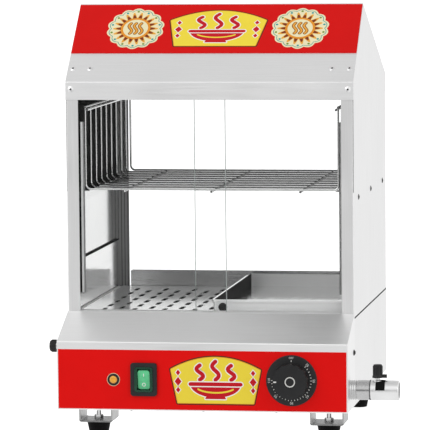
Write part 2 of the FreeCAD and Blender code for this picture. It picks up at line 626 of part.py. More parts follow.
def cabinet_sides():
    """Two folded side panels, each with its front post and its rear post."""
    skin_front = f"bend_height + gauge*(tan({front_pitch}) - 1/cos({front_pitch}))"
    skin_ridge = f"ridge_height - gauge/cos({front_pitch}) + {ridge_shift}*tan({front_pitch})"
    skin_rear = f"rear_bend_height + gauge*(tan({rear_pitch}) - 1/cos({rear_pitch}))"
    outline = polygon(("0", "seam_height"), ("cabinet_depth - gauge", "seam_height"),
                      ("cabinet_depth - gauge", skin_rear), (f"ridge_back + {ridge_shift}", skin_ridge),
                      ("0", skin_front))
    for side, sign in sides():
        piece = body("cabinet_side_" + side)
        pad(piece, "YZ", *across(sign, inner_half, half), outline)
        for width, near, far, top in (("post_width", "0", "gauge", skin_front),
                                      ("rear_post_width", "cabinet_depth - 2*gauge",
                                       "cabinet_depth - gauge", skin_rear)):
            low, high = across(sign, f"{half} - {width}", inner_half)
            pad(piece, "XZ", near, far, rectangle(low, deck, high, f"{top} - gauge"))
        edge = "cabinet_depth - gauge"
        fold(piece, "Z", [(f"{sign}*{half}", "0"), (f"{sign}*{half}", edge)],
             [(f"{sign}*{inner_half}", "gauge"), (f"{sign}*{inner_half}", f"{edge} - gauge")])


def front_header():
    """The lintel band and the front slope of the roof, one folded sheet."""
    piece = body("front_header")
    skin = f"bend_height + gauge*(tan({front_pitch}) - 1/cos({front_pitch}))"
    profile = polygon(("-gauge", "lintel_height"), ("0", "lintel_height"), ("0", skin),
                      ("ridge_back", f"ridge_height - gauge/cos({front_pitch})"),
                      ("ridge_back", "ridge_height"), ("-gauge", "bend_height"))
    pad(piece, "YZ", f"-{half}", half, profile)
    fold(piece, "X", [("-gauge", "bend_height")], [("0", skin)])


def roof_rear():
    """The rear slope of the roof and the hem that it folds down into."""
    piece = body("roof_rear")
    skin = f"rear_bend_height + gauge*(tan({rear_pitch}) - 1/cos({rear_pitch}))"
    profile = polygon(("cabinet_depth", "rear_hem_height"), ("cabinet_depth", "rear_bend_height"),
                      ("ridge_back", "ridge_height"), ("ridge_back", f"ridge_height - gauge/cos({rear_pitch})"),
                      ("cabinet_depth - gauge", skin), ("cabinet_depth - gauge", "rear_hem_height"))
    pad(piece, "YZ", f"-{half}", half, profile)
    fold(piece, "X", [("cabinet_depth", "rear_bend_height")], [("cabinet_depth - gauge", skin)])


def sign_panel():
    """The printed sheet that lies on the upper part of the front slope."""
    piece = body("sign_panel")
    run = f"sqrt((ridge_back + gauge)^2 + (ridge_height - bend_height)^2)"
    corners = []
    for start, lift in (("sign_start", "0"), (f"({run} - ridge_margin)", "0"),
                        (f"({run} - ridge_margin)", "gauge"), ("sign_start", "gauge")):
        corners.append((f"-gauge + {start}*cos({front_pitch}) - {lift}*sin({front_pitch})",
                        f"bend_height + {start}*sin({front_pitch}) + {lift}*cos({front_pitch})"))
    pad(piece, "YZ", "sign_margin - cabinet_width/2", "cabinet_width/2 - sign_margin", polygon(*corners))


def door_tracks():
    """Double channels for the two front panes, below and above."""
    span = (f"bend_radius - gauge - {inner_half}", f"{inner_half} - bend_radius + gauge")
    middle = f"(gauge + track_wall + 2*track_play + pane_thickness)"
    lower = body("lower_track")
    walls = []
    for wall in ("gauge", middle, track_back):
        walls.append(rectangle(wall, track_floor, f"{wall} + track_wall", "sill_height"))
    pad(lower, "YZ", *span, rectangle("gauge", deck, f"{track_back} + track_wall", track_floor))
    for wall in walls:
        pad(lower, "YZ", *span, wall)
    upper = body("upper_track")
    pad(upper, "YZ", *span, rectangle("gauge", "track_head - gauge", f"{track_back} + track_wall", "track_head"))
    for wall in ("gauge", middle, track_back):
        pad(upper, "YZ", *span, rectangle(wall, "track_head - track_lap", f"{wall} + track_wall",
                                          "track_head - gauge"))


def front_doors():
    """Two sliding panes, the left one in the front channel."""
    reach = "(door_width - door_overlap/2)"
    for side, sign, near in (("left", "-1", front_pane), ("right", "1", rear_pane)):
        piece = body("front_door_" + side)
        low, high = across(sign, "-door_overlap/2", reach)
        pad(piece, "XZ", near, f"{near} + pane_thickness",
            rectangle(low, f"{track_floor} + seat_gap", high, "track_head - gauge - door_head_gap"))
        dress(piece, "Chamfer", "track_play", upright_to("track_head - gauge - door_head_gap"))


def jambs():
    """The strips behind the front posts that close the gap beside the panes."""
    face = f"{track_back} + track_wall"
    for side, sign in sides():
        piece = body("jamb_" + side)
        low, high = across(sign, "jamb_reach", inner_half)
        pad(piece, "XZ", face, f"{face} + gauge", rectangle(low, "jamb_foot", high, "jamb_top"))
        low, high = across(sign, f"{inner_half} - gauge", inner_half)
        pad(piece, "XZ", f"{face} + gauge", f"{face} + jamb_flange",
            rectangle(low, "jamb_foot", high, "jamb_top"))


def rear_glazing():
    """The fixed rear pane between its lower and upper channels."""
    back = "(cabinet_depth - 2*gauge)"
    front = f"({back} - rear_channel_depth)"
    span = (f"bend_radius - gauge - {inner_half}", f"{inner_half} - bend_radius + gauge")
    hold = ("-window_width/2 - gauge*2", "window_width/2 + gauge*2")
    for label, floor, tip in (("rear_sill", deck, "rear_sill_top"),
                              ("rear_head", "rear_bend_height - 3*gauge", "rear_hem_height + gauge")):
        piece = body(label)
        upward = label == "rear_sill"
        web = (floor, f"{floor} + gauge") if upward else (f"{floor} - gauge", floor)
        wall = (f"{floor} + gauge", tip) if upward else (tip, f"{floor} - gauge")
        pad(piece, "YZ", *span, rectangle(front, web[0], back, web[1]))
        for near in (front, f"{back} - gauge"):
            pad(piece, "YZ", *hold, rectangle(near, wall[0], f"{near} + gauge", wall[1]))
    pane = body("rear_window")
    near = f"({front} + gauge + (rear_channel_depth - 2*gauge - pane_thickness)/2)"
    pad(pane, "XZ", near, f"{near} + pane_thickness",
        rectangle("-window_width/2", f"{deck} + gauge", "window_width/2", "rear_bend_height - 4*gauge"))


def liners():
    """The splash liners on the side walls just above the tank."""
    for side, sign in sides():
        piece = body("liner_" + side)
        low, high = across(sign, f"{inner_half} - liner_gap", f"{inner_half} - liner_gap + gauge")
        rear = "cabinet_depth - liner_rear_gap"
        pad(piece, "YZ", low, high, rectangle("liner_front", deck, rear, "liner_top"))
        low, high = across(sign, f"{inner_half} - liner_gap + gauge", inner_half)
        pad(piece, "YZ", low, high, rectangle("liner_front", "liner_top - gauge", rear, "liner_top"))


def rack_rails():
    """Angle rails, riveted through the side panels, that carry the rack."""
    for side, sign in sides():
        piece = body("rack_rail_" + side)
        rear = "cabinet_depth - rail_rear_gap"
        low, high = across(sign, f"{inner_half} - gauge", inner_half)
        pad(piece, "YZ", low, high, rectangle("rail_front", "rail_height - rail_drop", rear, "rail_height"))
        low, high = across(sign, f"{inner_half} - rail_width", f"{inner_half} - gauge")
        pad(piece, "YZ", low, high, rectangle("rail_front", "rail_height - gauge", rear, "rail_height"))


def wire_rack():
    """Ten bent wires joined by long wires along their rims and under the shelf."""
    piece = body("wire_rack")
    route = [("-rack_half", "rack_top"), ("-rack_half", shelf_wire), ("rack_half", shelf_wire),
             ("rack_half", "rack_top")]
    bent = tube(piece, "XZ", "rack_front", route, "rack_corner", "XY", "rack_top",
                circle("-rack_half", "rack_front", "wire_radius"))
    in_rows(piece, bent, ("Y", "rack_pitch*(rack_wires - 1)", "rack_wires"))
    long_wires = []
    for sign in ("-1", "1"):
        long_wires.append(circle(f"{sign}*rack_half", "rack_top", "rim_wire_radius"))
        long_wires.append(circle(f"{sign}*(rack_half - rim_inset)", "rack_top - rim_drop", "rim_wire_radius"))
        long_wires.append(circle(f"{sign}*rib_across", f"{shelf_wire} - rim_inset", "rim_wire_radius"))
    long_wires.append(circle("0", f"{shelf_wire} - rim_inset", "rim_wire_radius"))
    pad(piece, "XZ", "rack_front - rim_tail", f"{rack_back} + rim_tail", *long_wires)


def perforated_tray():
    """The slotted sheet over the water, with a short skirt that stands on the tank's flange."""
    piece = body("perforated_tray")
    outer = rectangle("-grate_half", "grate_front", "grate_half", grate_rear)
    pad(piece, "XY", f"{deck} + seat_gap", grate_top, outer)
    pocket(piece, "XY", f"{deck} + seat_gap - overrun", f"{grate_top} - gauge",
           rectangle("gauge - grate_half", "grate_front + gauge", "grate_half - gauge", f"{grate_rear} - gauge"))
    pair = pocket(piece, "XY", f"{grate_top} - gauge - overrun", f"{grate_top} + overrun",
                  slot("-slot_outer", "slot_first", "slot_width", "slot_length"),
                  slot("slot_across - slot_outer", "slot_first - slot_along/2", "slot_width", "slot_length"))
    in_rows(piece, pair, ("X", "slot_across*2*(slot_columns - 1)", "slot_columns"),
            ("Y", "slot_along*(slot_rows - 1)", "slot_rows"))


def holding_tray():
    """The low-walled pan that stands on the right half of the slotted sheet."""
    piece = body("holding_tray")
    left = "pan_left"
    right = "(grate_half - pan_right_gap)"
    front = "(grate_front + pan_margin)"
    rear = f"({grate_rear} - pan_margin)"
    floor = f"({grate_top} + seat_gap)"
    rim = f"({floor} + pan_height)"
    pad(piece, "XY", floor, rim, rectangle(left, front, right, rear))
    hem = "(pan_hem - gauge)"
    pad(piece, "XY", f"{rim} - pan_hem_height", rim,
        rectangle(f"{left} - {hem}", f"{front} - {hem}", f"{right} + {hem}", f"{rear} + {hem}"))
    pocket(piece, "XY", f"{floor} + gauge", f"{rim} + overrun",
           rectangle(f"{left} + gauge", f"{front} + gauge", f"{right} - gauge", f"{rear} - gauge"))
    corners = [(x, y) for x in (left, right) for y in (front, rear)]
    outside = [(x, y) for x in (f"{left} - {hem}", f"{right} + {hem}") for y in (f"{front} - {hem}",
                                                                                f"{rear} + {hem}")]
    inside = [(x, y) for x in (f"{left} + gauge", f"{right} - gauge") for y in (f"{front} + gauge",
                                                                              f"{rear} - gauge")]
    dress(piece, "Fillet", "pan_corner - gauge", fold_at("Z", *inside))
    dress(piece, "Fillet", "pan_corner", fold_at("Z", *corners))
    dress(piece, "Fillet", f"pan_corner + {hem}", fold_at("Z", *outside))
    pocket(piece, "XZ", f"{front} - overrun", f"{front} + overrun",
           circle(f"{left} + pan_hole_inset", f"{floor} + pan_height/2 - gauge", "pan_hole_radius"))


def temperature_control():
    """Dial, fluted knob, spindle and the thermostat behind them."""
    plate = body("dial_plate", "dial_across", "-base_reach", "dial_height", (1, 0, 0), 90)
    revolve(plate, ("bushing_radius + fit_gap", "0"), ("dial_radius", "0"), ("dial_radius", "dial_thickness"),
            ("bushing_radius + fit_gap", "dial_thickness"))
    dress(plate, "Chamfer", "dial_thickness/2", ring_at("dial_thickness", "dial_radius"))
    knob = body("temperature_knob", "dial_across", f"-{knob_back}", "dial_height", (1, 0, 0), 90)
    hub = "spindle_radius + fit_gap"
    cup = "knob_radius - knob_wall"
    revolve(knob, (hub, "0"), ("knob_boss_radius", "0"), ("knob_boss_radius", "knob_back_depth"),
            (cup, "knob_back_depth"), (cup, "0"), ("knob_radius", "0"), ("knob_radius", "knob_height"),
            ("knob_hub_radius", "knob_height"), ("knob_hub_radius", "knob_height - knob_hub_depth"),
            ("0", "knob_height - knob_hub_depth"), ("0", "knob_height - knob_wall"),
            (hub, "knob_height - knob_wall"))
    flute = pocket(knob, "XY", "-overrun", "knob_height + overrun",
                   circle("knob_radius + flute_radius - flute_depth", "0", "flute_radius"))
    around(knob, flute, "flutes")
    pad(knob, "XY", "knob_height", "knob_height + pointer_rise",
        rectangle("knob_edge - knob_radius", "-pointer_width/2", "knob_edge - knob_radius + pointer_length",
                  "pointer_width/2"))
    spindle = body("thermostat_spindle", "dial_across", f"-{knob_back}", "dial_height", (1, 0, 0), 90)
    tail = "(dial_thickness + seat_gap + 2*gauge)"
    revolve(spindle, ("0", f"-{tail} - bushing_radius"), ("spindle_radius", f"-{tail} - bushing_radius"),
            ("spindle_radius", "knob_height - knob_wall - seat_gap"),
            ("0", "knob_height - knob_wall - seat_gap"))
    box = body("thermostat", "dial_across", f"{panel_face} + gauge", "dial_height", (1, 0, 0), -90)
    pad(box, "XY", "0", "thermostat_depth", rectangle("-thermostat_width/2", "-thermostat_height/2",
                                                      "thermostat_width/2", "thermostat_height/2"))
    pad(box, "XY", "-2*gauge - dial_thickness/2", "0", circle("0", "0", "bushing_radius"))
    pocket(box, "XY", "-overrun", "bushing_radius + 2*fit_gap", circle("0", "0", hub))


def power_switch():
    """Housing, soft seal and the rocker that tips in it."""
    housing = body("switch_housing", "-switch_across", "-base_reach", "switch_height", (1, 0, 0), 90)
    pad(housing, "XY", "0", "bezel_proud", rectangle("-bezel_width/2", "-bezel_tall/2", "bezel_width/2",
                                                     "bezel_tall/2"))
    dress(housing, "Fillet", "bezel_corner", upright_to("bezel_proud"))
    pad(housing, "XY", "-switch_body_depth", "0", rectangle("-switch_body_width/2", "-switch_body_tall/2",
                                                            "switch_body_width/2", "switch_body_tall/2"))
    pocket(housing, "XY", "0", "bezel_proud + overrun", rectangle("-seal_width/2", "-seal_tall/2",
                                                                  "seal_width/2", "seal_tall/2"))
    corners = [(x, y) for x in ("-seal_width/2", "seal_width/2") for y in ("-seal_tall/2", "seal_tall/2")]
    dress(housing, "Fillet", "seal_corner", fold_at("Z", *corners))
    well = ("rocker_width/2 + rocker_play", "rocker_radius + rocker_play")
    depth = "(rocker_front + rocker_axis_sink - bezel_proud + rocker_radius + rocker_play)"
    pocket(housing, "XY", f"-{depth}", "overrun", rectangle(f"-({well[0]})", f"-({well[1]})", *well))
    pivot = "(bezel_proud - rocker_axis_sink - rocker_front)"
    pocket(housing, "YZ", "-rocker_width/2 - rocker_pin - rocker_play", "rocker_width/2 + rocker_pin + rocker_play",
           circle("0", pivot, "rocker_pin_radius + fit_gap"))
    seal = body("switch_seal", "-switch_across", "-base_reach", "switch_height", (1, 0, 0), 90)
    pad(seal, "XY", "0", "bezel_proud + seal_proud",
        rectangle("-seal_width/2", "-seal_tall/2", "seal_width/2", "seal_tall/2"),
        rectangle(f"-({well[0]})", f"-({well[1]})", *well))
    dress(seal, "Fillet", "seal_corner*1.25", fold_at("Z", *corners))
    rocker = body("switch_rocker", "-switch_across", f"-{rocker_axis}", "switch_height",
                  (1, 0, 0), 90 + number("rocker_tilt"))
    pad(rocker, "YZ", "-rocker_width/2", "rocker_width/2", circle("0", "0", "rocker_radius"))
    pocket(rocker, "YZ", "-rocker_width", "rocker_width",
           polygon(("-2*rocker_radius", "rocker_front"), ("0", "rocker_front - rocker_dip"),
                   ("2*rocker_radius", "rocker_front"), ("2*rocker_radius", "2*rocker_radius"),
                   ("-2*rocker_radius", "2*rocker_radius")))
    pocket(rocker, "YZ", "-rocker_width", "rocker_width",
           rectangle("-2*rocker_radius", "-2*rocker_radius", "2*rocker_radius", "-rocker_back"))
    dress(rocker, "Fillet", "rocker_corner", arc_of("rocker_radius"))
    pad(rocker, "YZ", "-rocker_width/2 - rocker_pin", "rocker_width/2 + rocker_pin",
        circle("0", "0", "rocker_pin_radius"))


def water_lamp():
    """The low-water light: a ring with its body, and a domed lens in it."""
    ring = body("lamp_ring", "-lamp_across", "-base_reach", "lamp_height", (1, 0, 0), 90)
    cup = "lamp_ring_proud - lamp_cup"
    revolve(ring, ("0", "-lamp_body_depth"), ("lamp_body_radius", "-lamp_body_depth"), ("lamp_body_radius", "0"),
            ("lamp_ring_radius", "0"), ("lamp_ring_radius", "lamp_ring_proud"),
            ("lamp_lens_radius", "lamp_ring_proud"), ("lamp_lens_radius", cup), ("0", cup))
    dress(ring, "Chamfer", "lamp_ring_proud/2", ring_at("lamp_ring_proud", "lamp_ring_radius"))
    lens = body("lamp_lens", "-lamp_across", "-base_reach", "lamp_height", (1, 0, 0), 90)
    revolve(lens, ("0", cup), ("lamp_lens_radius", cup), ("lamp_lens_radius", "lamp_lens_proud"),
            ("0", "lamp_lens_proud"))
    dress(lens, "Fillet", "lamp_lens_radius/2.5", ring_at("lamp_lens_proud", "lamp_lens_radius"))


def reset_control():
    """The overheat cut-out, its button and the knurled cap that covers it."""
    place = (f"-{inner_half}", "reset_back - base_reach", "reset_height", (0, 1, 0), -90)
    cutout = body("overheat_cutout", *place)
    neck = "(gauge + reset_neck)"
    bore = "reset_button_radius + fit_gap"
    bore_foot = "-reset_button_travel - seat_gap"
    revolve(cutout, ("0", "-reset_body_depth"), ("reset_body_radius", "-reset_body_depth"),
            ("reset_body_radius", "0"), ("reset_neck_radius", "0"), ("reset_neck_radius", "gauge"),
            ("reset_nut_radius", "gauge"), ("reset_nut_radius", "gauge + reset_nut"),
            ("reset_neck_radius", "gauge + reset_nut"), ("reset_neck_radius", neck), (bore, neck),
            (bore, bore_foot), ("0", bore_foot))
    button = body("reset_button", *place)
    revolve(button, ("0", "0"), ("reset_button_radius", "0"),
            ("reset_button_radius", f"{neck} + reset_button_proud"), ("0", f"{neck} + reset_button_proud"))
    cap = body("reset_cap", *place)
    foot = "gauge + cap_reach - cap_length"
    tip = "gauge + cap_reach"
    bore = "reset_neck_radius + seat_gap"
    revolve(cap, (bore, foot), ("cap_radius - cap_rib", foot), ("cap_radius - cap_rib", tip), ("0", tip),
            ("0", f"{tip} - cap_wall"), (bore, f"{tip} - cap_wall"))
    dress(cap, "Fillet", "cap_crown", ring_at(tip, "cap_radius - cap_rib"))
    rib = pad(cap, "XY", foot, f"{tip} - cap_crown", circle("cap_radius - cap_rib", "0", "cap_rib"))
    around(cap, rib, "cap_ribs")


def terminal_block():
    piece = body("terminal_block", "0", f"{panel_face} + gauge + block_front", "gauge")
    pad(piece, "XY", "0", "block_height", rectangle("-block_width/2", "0", "block_width/2", "block_depth"))
    hole = pocket(piece, "XY", "block_height/2", "block_height + overrun",
                  circle("-block_width/2 + block_width/block_ways/2", "block_depth/2", "block_screw_radius"))
    in_rows(piece, hole, ("X", "block_width*(block_ways - 1)/block_ways", "block_ways"))


def cable_gland():
    """The gland in the rear of the base, with its nut inside."""
    piece = body("cable_gland", "-gland_across", "cabinet_depth", "gland_height", (1, 0, 0), -90)
    revolve(piece, ("gland_bore_radius", "-gland_inside - gauge"), ("gland_thread_radius", "-gland_inside - gauge"),
            ("gland_thread_radius", "gland_hex"), ("gland_dome_radius", "gland_hex"),
            ("gland_dome_radius", "gland_hex + gland_dome"), ("gland_bore_radius", "gland_hex + gland_dome"))
    dress(piece, "Fillet", "gland_dome/3", ring_at("gland_hex + gland_dome", "gland_dome_radius"))
    for low, high in (("0", "gland_hex"), ("-gauge - gland_nut", "-gauge")):
        pad(piece, "XY", low, high, hexagon("gland_hex_radius"), circle("0", "0", "gland_thread_radius/2"))


def hexagon(radius):
    """A hexagon about the body's own Z axis, given by its corner radius."""
    corners = []
    for place in range(6):
        corners.append((f"{radius}*cos({place}*60)", f"{radius}*sin({place}*60)"))
    return polygon(*corners)


def foot_places():
    """The four feet: the name, and the place across and back, in words of the sheet."""
    rear = "cabinet_depth - foot_rear_gap"
    return [(f"{end}_{side}", f"{sign}*foot_across", back)
            for end, back in (("front", "foot_front_gap"), ("rear", rear)) for side, sign in sides()]


def feet_and_brackets():
    for name, place_x, place_y in foot_places():
        bracket = body("foot_bracket_" + name, place_x, place_y, "-bracket_height")
        edge = "bracket_width/2"
        inner = "(bracket_width/2 - bracket_gauge)"
        ear = "(bracket_width/2 - bracket_flange)"
        top = "(bracket_height - bracket_gauge)"
        profile = polygon((f"-{edge}", "0"), (edge, "0"), (edge, "bracket_height"), (ear, "bracket_height"),
                          (ear, top), (inner, top), (inner, "bracket_gauge"), (f"-{inner}", "bracket_gauge"),
                          (f"-{inner}", top), (f"-{ear}", top), (f"-{ear}", "bracket_height"),
                          (f"-{edge}", "bracket_height"))
        pad(bracket, "XZ", f"-{edge}", edge, profile)
        dress(bracket, "Fillet", "bracket_gauge*1.5", fold_at("Y", (f"-{edge}", "0"), (edge, "0")))
        dress(bracket, "Fillet", "bracket_gauge/2", fold_at("Y", (f"-{inner}", "bracket_gauge"),
                                                            (inner, "bracket_gauge")))
        pocket(bracket, "XY", "-overrun", "bracket_gauge + overrun", circle("0", "0", "bolt_radius + fit_gap"))
        foot = body("rubber_foot_" + name, place_x, place_y, "-bracket_height - foot_height")
        revolve(foot, ("0", "0"), ("foot_bottom_radius", "0"), ("foot_top_radius", "foot_height"),
                ("bolt_radius + fit_gap", "foot_height"), ("bolt_radius + fit_gap", "foot_height - bolt_sink"),
                ("0", "foot_height - bolt_sink"))
        dress(foot, "Fillet", "foot_edge", ring_at("0", "foot_bottom_radius"))


def group(label, solids):
    """Like fasteners as one sub-part of separate solids."""
    feature = doc.addObject("Part::Feature", label)
    feature.Label = label
    feature.Shape = Part.makeCompound(solids)
    feature.Placement = FreeCAD.Placement(FreeCAD.Vector(*(number(set_down[way]) for way in "xyz")),
                                          FreeCAD.Rotation())


def placed(shape, x, y, z, axis=None, turn=0):
    """A copy of a shape at a cabinet place given in words of the sheet."""
    copy = shape.copy()
    rotation = FreeCAD.Rotation(FreeCAD.Vector(*axis), turn) if axis else FreeCAD.Rotation()
    copy.Placement = FreeCAD.Placement(FreeCAD.Vector(number(x), number(y), number(z)), rotation)
    return copy


def dome(radius, rise, edge):
    """A round head: part of a ball on a short edge, standing on zero."""
    wide = number(radius)
    high = number(rise) - number(edge)
    ball = (wide*wide + high*high)/(2*high)
    head = Part.makeSphere(ball, FreeCAD.Vector(0, 0, number(rise) - ball))
    return head.common(Part.makeCylinder(wide, number(rise)))


def rivets():
    """Blind rivets: header and slope, the rack rails through the sides, and the rear hem."""
    head = dome("rivet_radius", "rivet_rise", "rivet_rise/4")
    head = head.cut(Part.makeCylinder(number("rivet_hole_radius"), number("rivet_rise"),
                                      FreeCAD.Vector(0, 0, number("rivet_rise/3"))))
    pitch = number(front_pitch)
    solids = []
    for side, sign in sides():
        outer = f"{sign}*({half} - rivet_from_edge)"
        inner = f"{sign}*({half} - slope_rivet_inner)"
        solids.append(placed(head, outer, "-gauge", "bend_height - header_rivet_drop", (1, 0, 0), 90))
        solids.append(placed(head, outer, "cabinet_depth", "rear_bend_height - header_rivet_drop", (1, 0, 0), -90))
        for place in (outer, inner):
            solids.append(placed(head, place, f"-gauge + slope_rivet_start*cos({front_pitch})",
                                 f"bend_height + slope_rivet_start*sin({front_pitch})", (1, 0, 0), pitch))
        rail = "(cabinet_depth - rail_rear_gap)"
        for back in ("rail_front + side_rivet_inset", f"(rail_front + {rail})/2", f"{rail} - side_rivet_inset"):
            turn = 90 if sign == "1" else -90
            solids.append(placed(head, f"{sign}*{half}", back, "side_rivet_height", (0, 1, 0), turn))
    group("blind_rivets", solids)


def screws():
    """Pan-head screws in the cheeks and under the bottom plate."""
    head = dome("screw_radius", "screw_rise", "screw_edge")
    solids = []
    for side, sign in sides():
        turn = 90 if sign == "1" else -90
        solids.append(placed(head, f"{sign}*{half}", "side_screw_back - base_reach", "side_screw_height",
                             (0, 1, 0), turn))
    for place in range(count("underside_screws")):
        spot = f"({place} - (underside_screws - 1)/2)*cabinet_width/(underside_screws + 1)"
        for back in (f"{panel_face} + underside_screw_inset", "cabinet_depth - underside_screw_inset"):
            solids.append(placed(head, spot, back, "0", (1, 0, 0), 180))
    group("cover_screws", solids)


def foot_fasteners():
    """The bolt that holds each foot to its bracket, and the nut on it."""
    length = number("bolt_sink + bracket_gauge + hexnut_height + bolt_above/2")
    bolt = Part.makeCylinder(number("bolt_radius"), length)
    corner = FreeCAD.Vector(number("hexnut_radius"), 0, 0)
    corners = [FreeCAD.Rotation(FreeCAD.Vector(0, 0, 1), place*60).multVec(corner) for place in range(7)]
    nut = Part.Face(Part.makePolygon(corners)).extrude(FreeCAD.Vector(0, 0, number("hexnut_height")))
    nut = nut.cut(Part.makeCylinder(number("bolt_radius + fit_gap"), number("hexnut_height")))
    bolts = []
    nuts = []
    for name, place_x, place_y in foot_places():
        bolts.append(placed(bolt, place_x, place_y, "-bracket_height - bolt_sink"))
        nuts.append(placed(nut, place_x, place_y, "-bracket_height + bracket_gauge"))
    group("foot_bolts", bolts)
    group("foot_nuts", nuts)


base_shell()
bottom_plate()
front_openings = control_housing()
control_fascia(front_openings)
water_tank()
heating_element()
level_sensor()
drain_line()
cabinet_sides()
front_header()
roof_rear()
sign_panel()
door_tracks()
front_doors()
jambs()
rear_glazing()
liners()
rack_rails()
wire_rack()
perforated_tray()
holding_tray()
temperature_control()
power_switch()
water_lamp()
reset_control()
terminal_block()
cable_gland()
feet_and_brackets()
rivets()
screws()
foot_fasteners()
doc.recompute()

for thing in doc.Objects:
    if "Invalid" in thing.State or "Error" in thing.State:
        raise ValueError("%s failed: %s" % (thing.Label, thing.State))
subparts = [thing for thing in doc.Objects if thing.TypeId in ("PartDesign::Body", "Part::Feature")
            and not thing.InList]
os.makedirs("parts", exist_ok=True)
for piece in subparts:
    if piece.Shape.isNull() or not piece.Shape.isValid() or not piece.Shape.Solids:
        raise ValueError("%s has no sound solid" % piece.Label)
for piece in subparts:
    piece.Shape.exportStep("parts/%s.step" % piece.Label)
print("%d sub-parts written" % len(subparts))
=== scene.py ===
import json
import math

import bpy
import numpy as np
from mathutils import Matrix, Vector


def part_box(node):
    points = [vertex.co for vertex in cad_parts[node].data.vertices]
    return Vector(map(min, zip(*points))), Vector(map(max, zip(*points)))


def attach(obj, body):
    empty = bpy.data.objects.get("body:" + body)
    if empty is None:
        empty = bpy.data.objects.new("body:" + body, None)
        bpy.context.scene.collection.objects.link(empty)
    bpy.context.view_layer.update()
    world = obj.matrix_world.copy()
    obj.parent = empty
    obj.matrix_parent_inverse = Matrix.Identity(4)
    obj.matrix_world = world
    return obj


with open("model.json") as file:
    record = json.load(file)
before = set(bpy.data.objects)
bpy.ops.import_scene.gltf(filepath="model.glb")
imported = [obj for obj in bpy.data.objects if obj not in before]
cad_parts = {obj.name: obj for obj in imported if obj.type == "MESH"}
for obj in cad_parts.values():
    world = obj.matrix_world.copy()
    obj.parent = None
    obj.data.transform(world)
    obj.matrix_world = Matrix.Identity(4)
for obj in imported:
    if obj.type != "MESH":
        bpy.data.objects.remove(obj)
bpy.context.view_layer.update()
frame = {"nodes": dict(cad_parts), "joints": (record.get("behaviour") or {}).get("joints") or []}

print("frame loaded:", len(frame["nodes"]), "nodes")

mm = 0.001
fullTurn = 2 * math.pi


# Lowest and highest corner of a node, as arrays, and the middle between them.
def nodeBox(node):
    low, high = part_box(node)
    return np.array(low), np.array(high)


def nodeMiddle(node):
    return sum(nodeBox(node)) / 2


# A new object of the scene around its data.
def addObject(name, data):
    thing = bpy.data.objects.new(name, data)
    bpy.context.scene.collection.objects.link(thing)
    return thing


middleX = nodeMiddle("front_header")[0]
underside = nodeBox("bottom_plate")[0][2]

camera = {
    "azimuth": 9.32,       # degrees to the right of the front
    "elevation": 5.17,     # degrees above the level
    "roll": -0.5,
    "distance": 4.488,     # metres
    "focal": 307.3,        # millimetres, and the width of the sensor
    "sensor": 36,
    "aimAcross": 6.75,     # millimetres from the middle of the cabinet
    "aimUp": 232.19,       # and above the underside of the base
    "near": 0.1,
    "far": 200,
}


# The eye stands at aim + distance * back, where back points from the aim to the eye, and the frame is rolled.
def addCamera(values):
    front = nodeBox("cabinet_side_left")[0][1]
    aim = Vector((middleX + values["aimAcross"] * mm, front, underside + values["aimUp"] * mm))
    azimuth, elevation, roll = (math.radians(values[key]) for key in ("azimuth", "elevation", "roll"))
    back = Vector((math.sin(azimuth) * math.cos(elevation), -math.cos(azimuth) * math.cos(elevation),
                   math.sin(elevation)))
    right = Vector((math.cos(azimuth), math.sin(azimuth), 0))
    up = back.cross(right)
    rolledRight = math.cos(roll) * right + math.sin(roll) * up
    rolledUp = math.cos(roll) * up - math.sin(roll) * right
    data = bpy.data.cameras.new("camera")
    data.lens = values["focal"]
    data.sensor_width = values["sensor"]
    data.clip_start, data.clip_end = values["near"], values["far"]
    thing = addObject("camera", data)
    turned = Matrix((rolledRight, rolledUp, back)).transposed().to_4x4()
    thing.matrix_world = Matrix.Translation(aim + back * values["distance"]) @ turned
    bpy.context.scene.camera = thing


addCamera(camera)


# A node tree, with short calls for the nodes that finishes, floor and world share.
class Nodes:
    def __init__(self, tree):
        self.tree = tree

    # A socket given as the value is linked, anything else is set.
    def fill(self, socket, value):
        if isinstance(value, bpy.types.NodeSocket):
            self.tree.links.new(value, socket)
        elif socket.type == "RGBA" and len(value) == 3:
            socket.default_value = (*value, 1)
        else:
            socket.default_value = value

    # A new node of a kind, with its first sockets filled in order.
    def add(self, kind, *values):
        node = self.tree.nodes.new("ShaderNode" + kind)
        for socket, value in zip(node.inputs, values):
            self.fill(socket, value)
        return node

    def calc(self, operation, first, second=0.0):
        node = self.add("Math", first, second)
        node.operation = operation
        return node.outputs[0]

    # Runs from low to high while the value runs from fromLow to fromHigh, where most of a noise lies.
    def spread(self, value, low=0.0, high=1.0, fromLow=0.3, fromHigh=0.7, way="LINEAR"):
        node = self.add("MapRange", value, fromLow, fromHigh, low, high)
        node.interpolation_type = way
        return node.outputs[0]


